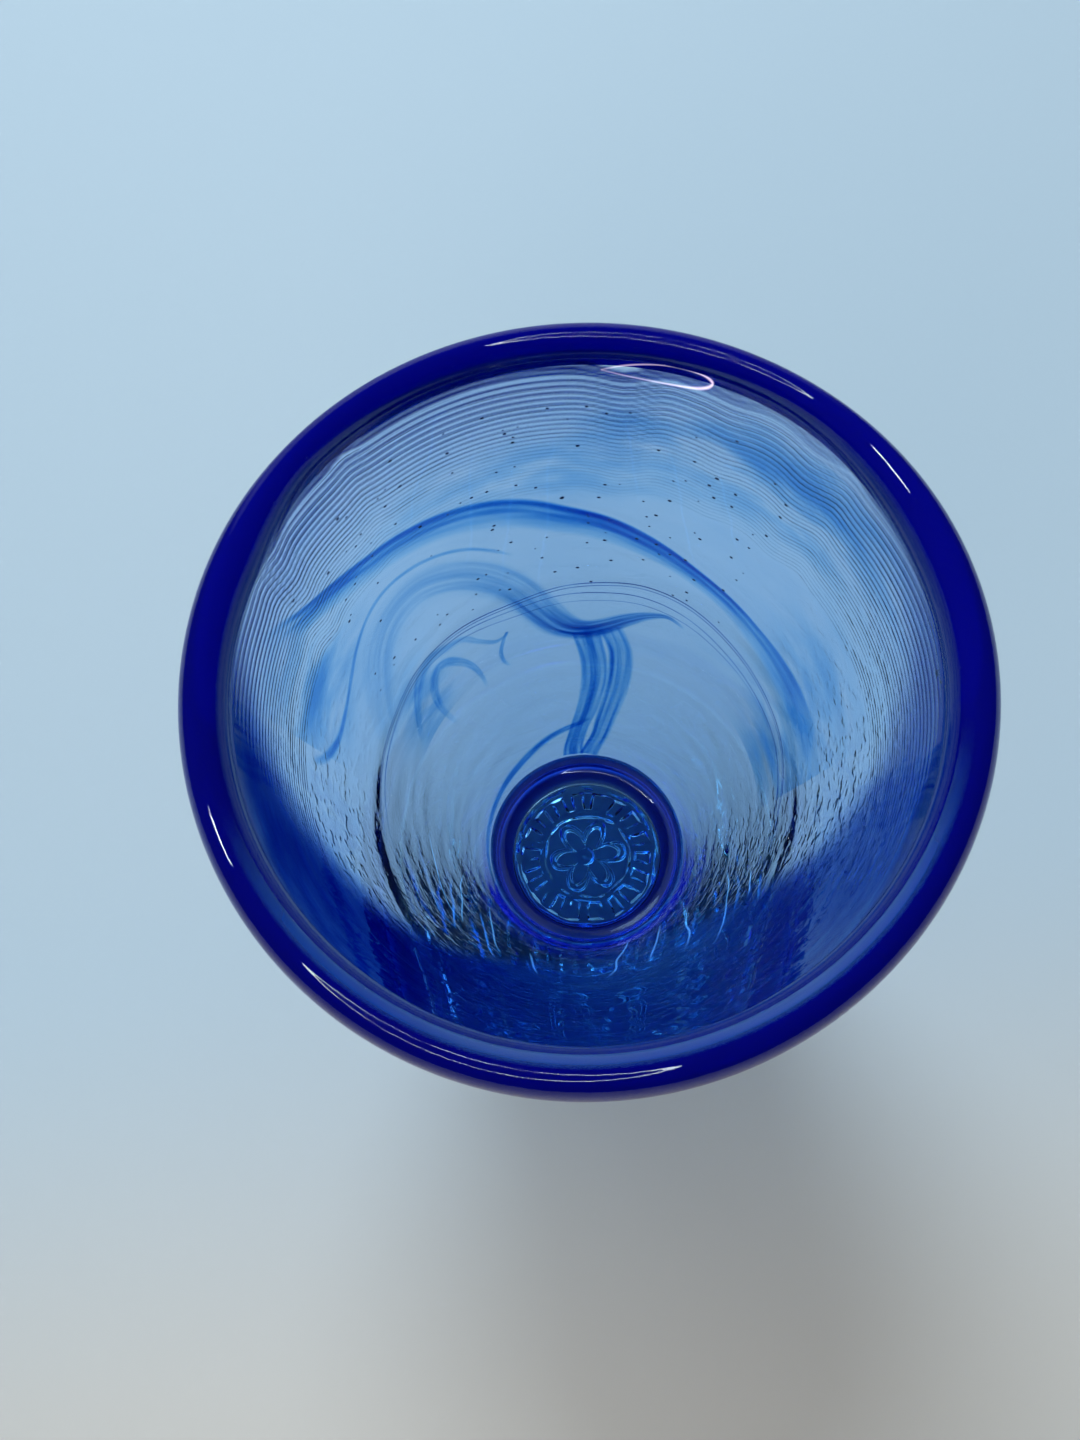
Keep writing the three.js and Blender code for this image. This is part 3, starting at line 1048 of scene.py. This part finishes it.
def lay_on_wall(flat, path, depth):
    # Where each point of a flat grid comes to lie, and where it is across the film
    steps = len(path) - 1
    along, v = (flat[:, 0] + 1) / 2 * steps, flat[:, 1]
    row = np.arange(steps + 1)
    angle, z, half, amount = (np.interp(along, row, path[:, k]) for k in range(4))
    wide = inner_radius(path[:, 1] * MM) / MM
    way = np.stack([np.gradient(np.radians(path[:, 0])) * wide, np.gradient(path[:, 1])], axis=1)
    way /= np.linalg.norm(way, axis=1)[:, None]
    aside = np.interp(along, row, -way[:, 1]), np.interp(along, row, way[:, 0])
    half, amount = np.maximum(half, least_half), np.maximum(amount, 0)
    angle = np.radians(angle) + half * v * aside[0] / np.interp(along, row, wide)
    z = (z + half * v * aside[1]) * MM
    radius = inner_radius(z) + depth * (outer_radius(z) - inner_radius(z))
    return from_polar(angle, radius, z), v, amount


print("a straight path of three steps:", smooth_path([(0, 0), (1, 2)], 3).tolist())

# %% [markdown]
# The grid then gets its cobalt, which fades to both edges and may have darker lines along it.
# Solidify turns it into a thin closed film, thicker where there is more cobalt.

# %% Lay a ribbon on the wall
def ribbon(
        name, places, across=12, left_edge=1.0, right_edge=1.0, lines=(),
        thick=0.3, depth=0.5, rows=8):
    steps = rows * (len(places) - 1)
    bpy.ops.object.select_all(action="DESELECT")
    bpy.ops.mesh.primitive_grid_add(x_subdivisions=steps, y_subdivisions=across, size=2)
    piece = bpy.context.object
    piece.name = piece.data.name = name
    path = smooth_path(places, steps + 1)
    points, v, amount = lay_on_wall(read_points(piece.data), path, depth)
    write_points(piece.data, points)
    film = smooth_step((1 - v) / left_edge) * smooth_step((1 + v) / right_edge)
    if lines:
        plain, *dark = lines
        film = film * (plain + sum(much * bump((v - at) / width) for at, width, much in dark))
    set_smoke(piece, film * amount)
    group = piece.vertex_groups.new(name="film")
    for index, weight in enumerate(np.clip(film * amount, least_film, 1)):
        group.add([index], float(weight), "REPLACE")
    solidify = piece.modifiers.new("film", "SOLIDIFY")
    solidify.thickness = thick * MM
    solidify.offset = 0
    solidify.vertex_group = "film"
    bpy.ops.object.modifier_apply(modifier="film")
    bpy.ops.object.shade_smooth()
    print(name, "has", len(piece.data.polygons), "faces")
    return piece


def trail(name, glass, places, **shape):
    dress(ribbon(name, places, **shape), glass, "trail_glass", name)


# %% [markdown]
# The long arc is the darkest trail. Its upper edge is sharp and its lower side fades, as the
# film folded over there. The last part of it turns down the right wall and fades out.

# %% Arc trail
trail_tint = (0.03, 0.235, 0.72)
arc_glass = smoke_material("arc_glass", trail_tint, streaks=0.35, scale=(9, 5, 1))
trail("arc_trail", arc_glass, [
    (163, 118, 4.2, 0), (158.5, 116, 3.6, 0.1), (154.5, 114, 2.9, 0.3), (151, 112.2, 2.4, 0.7),
    (146.5, 110.2, 2.4, 1), (140, 107.8, 2.7, 1.1), (133, 105.8, 2.9, 1), (125, 104.4, 3.1, 0.9),
    (114, 102.4, 3.4, 0.85), (104, 100.2, 3.8, 0.85), (96, 98, 4, 0.95), (87, 95, 3.9, 1.15),
    (77, 92.6, 3.6, 1.35), (67, 89.8, 3.2, 1.4), (57, 87.2, 2.7, 1.35), (49, 85.4, 2.5, 1.2),
    (40, 83.8, 2.6, 1), (31, 82.2, 3.2, 0.75), (20, 81, 4.4, 0.5), (8, 80.2, 5.6, 0.28),
    (-5, 79, 6.5, 0)],
    across=24, right_edge=0.2, depth=0.42, rows=9,
    lines=(0.35, (-0.72, 0.22, 0.8), (-0.2, 0.16, 0.45)))

# %% [markdown]
# The swirl is a broad pale band that turns round and gathers into the dark crossbar, which
# hangs over the floor.

# %% Swirl trail
swirl_glass = smoke_material("swirl_glass", (0.05, 0.25, 0.66), streaks=0.5, scale=(5, 9, 1))
trail("swirl_trail", swirl_glass, [
    (158, 69, 3, 0), (154, 76, 4.5, 0.12), (148, 82.5, 5.5, 0.18), (142, 88, 5.8, 0.21),
    (134, 91.5, 5.8, 0.22), (125, 92, 5.6, 0.24), (116, 89, 5.2, 0.27), (108, 84.4, 5, 0.34),
    (101, 78.2, 4.8, 0.45), (96, 71.8, 4.6, 0.7), (91, 66, 4.4, 1.1), (86, 63, 4, 1.5),
    (80, 62.4, 3.6, 1.6), (74, 64, 2.9, 1.4), (68, 66.8, 2.2, 1.2), (62, 69.6, 1.4, 1),
    (56, 71.4, 0.8, 0.8), (50, 70.3, 0.5, 0)],
    across=28, left_edge=0.7, right_edge=0.7, depth=0.55, rows=9,
    lines=(0.4, (-0.65, 0.2, 0.5), (-0.15, 0.16, 0.55), (0.4, 0.2, 0.6)))

# %% [markdown]
# Two stems hang from the crossbar and meet the heel. Each is a folded film, so its two sides
# are darker than its middle.

# %% Stem trails
stem_glass = smoke_material("stem_glass", trail_tint, streaks=0.4, scale=(3, 7, 1))
trail("stem_trail_left", stem_glass, [
    (81, 61.8, 3, 0.6), (79.5, 57, 2.8, 0.9), (78, 51.5, 2.8, 0.9), (77.8, 45, 2.7, 0.85),
    (79, 39, 2.5, 0.85), (81, 33, 2.3, 0.9), (84, 27.5, 2.1, 1), (86.5, 22.5, 2.1, 1.2),
    (88.5, 18.5, 2.2, 1.2), (89, 15.2, 2.4, 1)],
    across=22, left_edge=0.15, right_edge=0.3,
    lines=(0.3, (-0.85, 0.14, 0.5), (0.0, 0.3, 0.75), (0.75, 0.14, 0.35)), depth=0.6)
trail("stem_trail_right", stem_glass, [
    (73, 63.6, 2.6, 0.4), (70, 59, 2.6, 0.7), (68.5, 55, 2.6, 0.85), (68, 49.5, 2.6, 0.85),
    (68.5, 43, 2.5, 0.75), (70, 36.5, 2.3, 0.75), (72, 30, 2.2, 0.85), (74, 24, 2, 1),
    (77, 19.5, 2, 1.1), (80, 15.5, 2.2, 1)],
    across=20, left_edge=0.2, right_edge=0.2,
    lines=(0.3, (-0.55, 0.14, 0.5), (0.1, 0.14, 0.4), (0.65, 0.16, 0.8)), depth=0.48)

# %% [markdown]
# The root leaves the foot of the stems and runs round the heel on the left.

# %% Root trail
root_glass = smoke_material("root_glass", trail_tint, streaks=0.4, scale=(6, 3, 1))
trail("root_trail", root_glass, [
    (79, 30, 0.7, 0), (84, 28, 1, 0.6), (91, 26.2, 1.2, 0.75), (99, 24.6, 1.4, 0.8),
    (109, 22.4, 1.6, 0.8), (120, 20.2, 1.7, 0.8), (134, 18.6, 1.7, 0.75), (149, 17.3, 1.6, 0.65),
    (166, 16.5, 1.4, 0.5), (185, 16.4, 1.2, 0.3), (205, 16.4, 1, 0)],
    left_edge=0.8, right_edge=0.8, depth=0.66)

# %% [markdown]
# Two curls lie inside the swirl: the outer one comes up from the left and ends in a small hook,
# and the inner one is a little loop.

# %% Curl trails
curl_glass = smoke_material("curl_glass", trail_tint, streaks=0.45, scale=(6, 4, 1))
trail("curl_trail", curl_glass, [
    (150, 60, 0.8, 0), (147, 64, 1.2, 0.2), (142, 69, 1.6, 0.26), (137, 72.8, 1.8, 0.28),
    (131, 74.3, 1.8, 0.28), (125, 73, 1.5, 0.22), (120, 72, 1.1, 0.2), (115.5, 68.4, 0.8, 0.2),
    (111, 65.8, 0.7, 0.25), (107.5, 66, 0.5, 0.3), (106.3, 67, 0.4, 0.3), (108.5, 64.6, 0.5, 0.35),
    (110.3, 61.6, 0.6, 0.32), (110.2, 58.4, 0.6, 0.22), (108.2, 56, 0.5, 0)],
    left_edge=0.9, right_edge=0.5, depth=0.5)
trail("inner_curl_trail", curl_glass, [
    (135.6, 52, 0.7, 0), (137.2, 60, 0.9, 0.2), (136, 66, 1.3, 0.28), (132.5, 70, 1.6, 0.34),
    (128.3, 70.2, 1.5, 0.34), (124.2, 67.4, 1.2, 0.3), (121, 63.5, 0.9, 0.28),
    (119.5, 59.1, 0.7, 0.2), (119.2, 54, 0.6, 0)],
    left_edge=0.8, right_edge=0.5, depth=0.4)

# %% [markdown]
# A line as thin as a hair runs over the swirl, and comes down on the left as a bluer wisp. They
# are one line in the wall, and the wisp is the part that lies outside the swirl.

# %% Hair and side trails
wisp_glass = smoke_material("wisp_glass", trail_tint, streaks=0.25, scale=(9, 3, 1))
trail("hair_trail", wisp_glass, [
    (99.5, 88.4, 0.5, 0), (104, 91.2, 0.6, 0.25), (110, 94.4, 0.6, 0.3), (117, 96.8, 0.6, 0.32),
    (125, 98.4, 0.6, 0.32), (133, 98.8, 0.6, 0.32), (140, 97.6, 0.6, 0.35), (147, 95.2, 0.7, 0.4)],
    depth=0.36)
trail("side_trail", wisp_glass, [
    (147, 95.2, 0.7, 0.4), (153, 92.8, 0.8, 0.45), (159, 91.4, 0.9, 0.5), (165, 91.4, 1.1, 0.65),
    (169.5, 93.2, 1.3, 0.75), (173, 96.5, 1.1, 0.45), (175, 100.5, 0.9, 0)],
    depth=0.36)

# %% [markdown]
# Between the trails, the cobalt hangs in the wall as a thin haze. It is one broad ribbon whose
# value at each point is the sum of soft clouds.

# %% Haze
haze_middle, haze_half = 92, 34
haze_places = [(place, haze_middle, haze_half, 1) for place in (172, 140, 110, 80, 50, 20, -10)]
# Each cloud: angle in degrees, height in mm, how wide, how tall, and how much cobalt
haze_clouds = (
    (62, 116, 18, 6, 0.18), (38, 115, 16, 9, 0.14), (30, 120, 20, 6, 0.16),
    (160, 102, 12, 10, 0.3), (142, 66, 10, 10, 0.25), (100, 110, 30, 4, 0.08),
    (10, 84, 12, 14, 0.2), (4, 66, 12, 10, 0.2), (-10, 76, 12, 12, 0.2), (84, 106, 20, 5, 0.1))
haze = ribbon("haze", haze_places, across=44, thick=0.12, depth=0.3, rows=20)
angle, radius, z = polar(read_points(haze.data))
density = 0.01 + np.zeros_like(z)
for place, level, wide, tall, amount in haze_clouds:
    density += amount * bump(turned(angle, place) / wide) * bump((z / MM - level) / tall)
haze.data.attributes["smoke"].data.foreach_set("value", density.astype(np.float32))
haze_glass = smoke_material(
    "haze_glass", trail_tint, streaks=0.9, scale=(70, 70, 190), follow="Object")
dress(haze, haze_glass, "trail_glass")

# %% [markdown]
# The second gather ends in an uneven edge, and its rim lies on the cup as a few fine dark lines.

# %% Gather lines
edge_levels = (
    (190, 73), (168, 73.5), (150, 73.9), (136, 75), (121, 75), (103, 74.2), (87, 75.9),
    (77, 76.7), (65, 77.7), (52, 77.2), (36, 75), (19, 73), (6, 71.6), (-6, 69), (-18, 66),
    (-33, 65.5), (-50, 67), (-69, 74), (-82, 79), (-98, 85), (-114, 86.5), (-126, 85.5),
    (-142, 79), (-163, 71), (-172, 70))
line_glass = smoke_material("line_glass", (0.02, 0.1, 0.45), streaks=0.6, scale=(30, 2, 1))
# Each line: how far below the edge, how much more at the sides, half width, and how dark
gather_lines = (
    (0, 0.4, 0.16, 1.0), (0.8, 0.2, 0.12, 0.8), (1.6, 2.2, 0.14, 0.7), (2.3, 3.4, 0.1, 0.5))
for i, (drop, side_drop, wide, dark) in enumerate(gather_lines):
    places = []
    for a, level in edge_levels:
        lower = level - drop - side_drop * math.cos(math.radians(a - 20 * i)) ** 2
        ends = 0.0 if a in (190, -172) else 1.0
        uneven_dark = 0.45 + 0.55 * math.cos(math.radians(3 * a + 70 * i)) ** 2
        places.append((a, lower, wide, 1.7 * dark * ends * uneven_dark))
    line = ribbon(f"gather_line_{i + 1}", places, across=4, thick=0.12, depth=0.7, rows=12)
    dress(line, line_glass, "trail_glass")

# %% [markdown]
# Specks of unmelted colour hang in the far wall. Their glass is nearly black, with a little
# blue in it here and there.

# %% Speck glass
speck_material, speck_nodes, speck_links = new_material("speck")
speck_shader = set_values(speck_nodes["Principled BSDF"], Roughness=0.4)
grains = set_values(speck_nodes.new("ShaderNodeTexNoise"), Scale=2500)
shade = colour_mix(speck_nodes, (0.0, 0.004, 0.03), (0.01, 0.03, 0.12))
speck_place = speck_nodes.new("ShaderNodeTexCoord")
speck_links.new(speck_place.outputs["Object"], grains.inputs["Vector"])
speck_links.new(grains.outputs["Fac"], shade.inputs["Factor"])
speck_links.new(shade.outputs["Result"], speck_shader.inputs["Base Color"])
print("speck glass has", len(speck_nodes), "nodes")

# %% [markdown]
# Each speck is a small ball of twenty faces, flat along the wall. A seeded random choice
# scatters them, so they lie in the same places each time, and three larger ones sit at the
# right, under the lip.

# %% Specks
chance = np.random.default_rng(7)
speck_count = 130
speck_depth = 0.25
bpy.ops.object.select_all(action="DESELECT")
spots = [
    (chance.uniform(38, 150), chance.uniform(78, 122), chance.uniform(0.17, 0.38))
    for _ in range(speck_count)]
spots += [(-5.7, 124.5, 0.55), (-8.8, 126.4, 0.4), (-7.6, 125.2, 0.3)]
for i, (degrees, level, size) in enumerate(spots):
    z = level * MM
    radius = inner_radius(z) + speck_depth * (outer_radius(z) - inner_radius(z))
    place = from_polar(np.array([math.radians(degrees)]), np.array([radius]), np.array([z]))[0]
    bpy.ops.mesh.primitive_ico_sphere_add(
        subdivisions=1, radius=size * MM, location=place,
        rotation=(0, 0, math.radians(degrees)), scale=(0.6, 1, 0.7))
    if i == 0:
        specks = bpy.context.object
        specks.name = specks.data.name = "specks"
        bpy.ops.object.transform_apply(location=True, rotation=True, scale=True)
        bpy.ops.object.mode_set(mode="EDIT")
bpy.ops.object.mode_set(mode="OBJECT")
dress(specks, speck_material, "cobalt_glass")
print("specks:", len(spots))

# %% [markdown]
# In the photograph, short blue-white lines shine in the near wall: drawn-out reflections of the
# window. They are too thin to come out of the glass here, so each is a faintly glowing ribbon.

# %% Bright cords
def glow_material(name, colour, strength):
    material = glass_material(name, inner_ior)
    nodes, links = material.node_tree.nodes, material.node_tree.links
    glow = colour_mix(nodes, (0, 0, 0), colour)
    links.new(painted(nodes, "smoke"), glow.inputs["Factor"])
    links.new(glow.outputs["Result"], nodes["Principled BSDF"].inputs["Emission Color"])
    nodes["Principled BSDF"].inputs["Emission Strength"].default_value = strength
    return material


cord_glass = glow_material("cord_glass", (0.12, 0.45, 1.0), strength=0.5)
# Each path is a row of places: angle in degrees and height in millimetres
cord_paths = (
    [(178, 52), (190, 52), (200, 54), (209, 56), (215, 55)],
    [(-168, 37), (-162, 42), (-155, 46), (-149, 52), (-145, 56)],
    [(-152, 31), (-145, 37), (-139, 43), (-133, 51), (-128, 56)],
    [(-122, 42), (-120, 46), (-118, 51), (-116, 56), (-114, 60)],
    [(-75, 21), (-80, 30), (-86, 40), (-88, 50), (-92, 58)],
    [(-58, 26), (-64, 33), (-69, 40), (-73, 46), (-76, 52)],
    [(-45, 33), (-51, 38), (-55, 43), (-58, 50), (-66, 60)],
    [(-29, 46), (-35, 51), (-42, 55), (-49, 61), (-60, 70)],
    [(-31, 60), (-34, 62), (-37, 63.5), (-39, 65), (-42, 66)])
for i, path in enumerate(cord_paths):
    places = [(a, z, 0.3, k in (1, 2, 3)) for k, (a, z) in enumerate(path)]
    cord = ribbon(f"bright_cord_{i + 1}", places, across=4, thick=0.15, depth=0.1)
    dress(cord, cord_glass, "clear_blue_glass")

# %% [markdown]
# Just under the far lip, the photograph has a narrow loop of almost white light, most likely a
# lamp mirrored in the glass. A thin glowing ribbon takes its place.

# %% Bright loop
loop_places = (
    (78, 128.1, 0.1, 0.2), (74.5, 128.6, 0.14, 0.4), (70, 129.1, 0.14, 0.4),
    (65, 129.5, 0.16, 0.45), (60.5, 129.3, 0.22, 0.7), (58.6, 128.6, 0.26, 0.8),
    (60.5, 127.8, 0.26, 0.8), (65, 127.4, 0.2, 0.65), (70, 127.4, 0.16, 0.4),
    (74.5, 127.7, 0.12, 0.35), (78, 128.1, 0.1, 0.2))
bright_loop = ribbon("bright_loop", loop_places, across=4, thick=0.12, depth=0.1)
loop_glass = glow_material("loop_glass", (1.0, 0.75, 0.9), strength=0.75)
dress(bright_loop, loop_glass, "clear_blue_glass")

# %% [markdown]
# The tumbler stands on a plain pale table. Its colour is cooler beyond the tumbler and warmer on
# the near side, which is painted light: the tint of the window beyond and of a warm lamp on the
# near side. The place along Y blends the two colours.

# %% Floor, with painted warm and cool light
near_place, far_place = -0.13, 0.0
painted_warm_near = (0.47, 0.445, 0.42)
painted_cool_far = (0.365, 0.445, 0.515)
bpy.ops.object.select_all(action="DESELECT")
bpy.ops.mesh.primitive_plane_add(size=3)
floor = bpy.context.object
floor.name = "floor"
floor_material, floor_nodes, floor_links = new_material("pale_floor")
floor_place = floor_nodes.new("ShaderNodeTexCoord")
floor_split = floor_nodes.new("ShaderNodeSeparateXYZ")
floor_way = floor_nodes.new("ShaderNodeMapRange")
floor_way.interpolation_type = "SMOOTHSTEP"
set_values(floor_way, From_Min=near_place, From_Max=far_place)
# The blend of painted warm light near and painted cool light far
floor_colours = colour_mix(floor_nodes, painted_warm_near, painted_cool_far)
floor_links.new(floor_place.outputs["Object"], floor_split.inputs["Vector"])
floor_links.new(floor_split.outputs["Y"], floor_way.inputs["Value"])
floor_links.new(floor_way.outputs["Result"], floor_colours.inputs["Factor"])
floor_shader = set_values(floor_nodes["Principled BSDF"], Roughness=0.6)
floor_links.new(floor_colours.outputs["Result"], floor_shader.inputs["Base Color"])
floor.data.materials.append(floor_material)
print("the table blends from", near_place, "to", far_place, "m")

# %% [markdown]
# The world is a pale room, brighter toward the window. It is built from small steps of maths:
# how near a direction is to a lamp's gives a round lamp, or the thin ring of one.

# %% World tools
world = bpy.data.worlds.new("window_room")
bpy.context.scene.world = world
world.use_nodes = True
world_nodes, world_links = world.node_tree.nodes, world.node_tree.links


def world_math(operation, first, second):
    node = world_nodes.new("ShaderNodeMath")
    node.operation = operation
    for socket, value in zip(node.inputs, (first, second)):
        if isinstance(value, (int, float)):
            socket.default_value = value
        else:
            world_links.new(value, socket)
    return node.outputs["Value"]


way_in = world_nodes.new("ShaderNodeTexCoord")
path = world_nodes.new("ShaderNodeLightPath")


def toward(direction):
    # How near the looked-at direction is to a given one, as the cosine of the angle
    node = world_nodes.new("ShaderNodeVectorMath")
    node.operation = "DOT_PRODUCT"
    node.inputs[1].default_value = Vector(direction).normalized()
    world_links.new(way_in.outputs["Generated"], node.inputs[0])
    return node.outputs["Value"]


def ring_lamp(direction, wide, thin, level):
    edge = math.cos(math.radians(wide))
    off = world_math("ABSOLUTE", world_math("SUBTRACT", toward(direction), edge), 0)
    line = math.sin(math.radians(wide)) * math.radians(thin)
    return world_math("MULTIPLY", world_math("LESS_THAN", off, line), level)


def spot_lamp(direction, wide, level):
    edge = math.cos(math.radians(wide))
    return world_math("MULTIPLY", world_math("GREATER_THAN", toward(direction), edge), level)


print("world tools are ready")

# %% [markdown]
# What the glass mirrors is told apart from what shines through it: a ray that is both glossy
# and reflected is a mirrored one. Mirrored rays see a dark room with a few bright lamps, which
# give the lip its crisp highlights. All other rays see the pale room. The bright window is left
# out of what the camera sees directly.

# %% World
room_level = 0.55
window_side = 0.3
mirror_dark = 0.95
glow_edge, glow_rise = 0.78, 3.2
room_colour = (0.82, 0.94, 1.0)

room = world_math("MULTIPLY_ADD", toward((-0.35, 0.75, 0.4)), window_side)
room.node.inputs[2].default_value = room_level
mirrored = world_math("MULTIPLY", path.outputs["Is Glossy Ray"], path.outputs["Is Reflection Ray"])
room_seen = world_math("SUBTRACT", 1, world_math("MULTIPLY", mirrored, mirror_dark))
ring = ring_lamp((-0.236, -0.33, 0.9), wide=19, thin=0.8, level=16)
lamps = world_math("ADD", ring, spot_lamp((-0.45, 0.17, 0.86), wide=2.5, level=40))
far_glow = world_math("SUBTRACT", toward((0, 0.97, 0.2)), glow_edge)
far_wall = world_math("MAXIMUM", world_math("MULTIPLY", far_glow, glow_rise), 0)
lamps_seen = world_math("MULTIPLY", world_math("ADD", lamps, far_wall), mirrored)
unseen = world_math("SUBTRACT", 1, path.outputs["Is Camera Ray"])
window = world_math("MULTIPLY", spot_lamp((-0.3, 0.8, 0.5), wide=14, level=3.5), unseen)
room = world_math("ADD", room, window)
light = world_math("ADD", world_math("MULTIPLY", room, room_seen), lamps_seen)
world_links.new(light, world_nodes["Background"].inputs["Strength"])
world_nodes["Background"].inputs["Color"].default_value = (*room_colour, 1)
print("the world has", len(world_nodes), "nodes")

# %% [markdown]
# Two soft lamps do the rest: a large cool one for the window beyond the tumbler, which leaves
# the near side of the table in shade, and a small warm one close to the near side. Glass would
# show them as discs, so mirrored and refracted rays don't see them.

# %% Soft lamps
def soft_lamp(name, place, size, energy, colour):
    data = bpy.data.lights.new(name, "AREA")
    data.shape = "DISK"
    data.size = size
    data.energy = energy
    data.color = colour
    lamp = bpy.data.objects.new(name, data)
    lamp.location = place
    lamp.rotation_mode = "QUATERNION"
    lamp.rotation_quaternion = Vector(place).to_track_quat("Z", "Y")
    lamp.visible_glossy = False
    lamp.visible_transmission = False
    bpy.context.scene.collection.objects.link(lamp)


soft_lamp("far_window", (-0.05, 0.62, 0.9), size=0.4, energy=8.5, colour=(0.8, 0.93, 1.0))
soft_lamp("near_lamp", (-0.09, -0.17, 0.27), size=0.1, energy=0.2, colour=(1.0, 0.8, 0.62))

# %% [markdown]
# Light crosses many faces in nested glass, so many bounces are allowed, and many crossings of
# the partly covering veil. The colours are shown as they are.

# %% Light paths
scene = bpy.context.scene
scene.view_settings.view_transform = "Standard"
scene.cycles.max_bounces = 64
scene.cycles.transmission_bounces = 64
scene.cycles.transparent_max_bounces = 96
print("light may bounce", scene.cycles.max_bounces, "times")
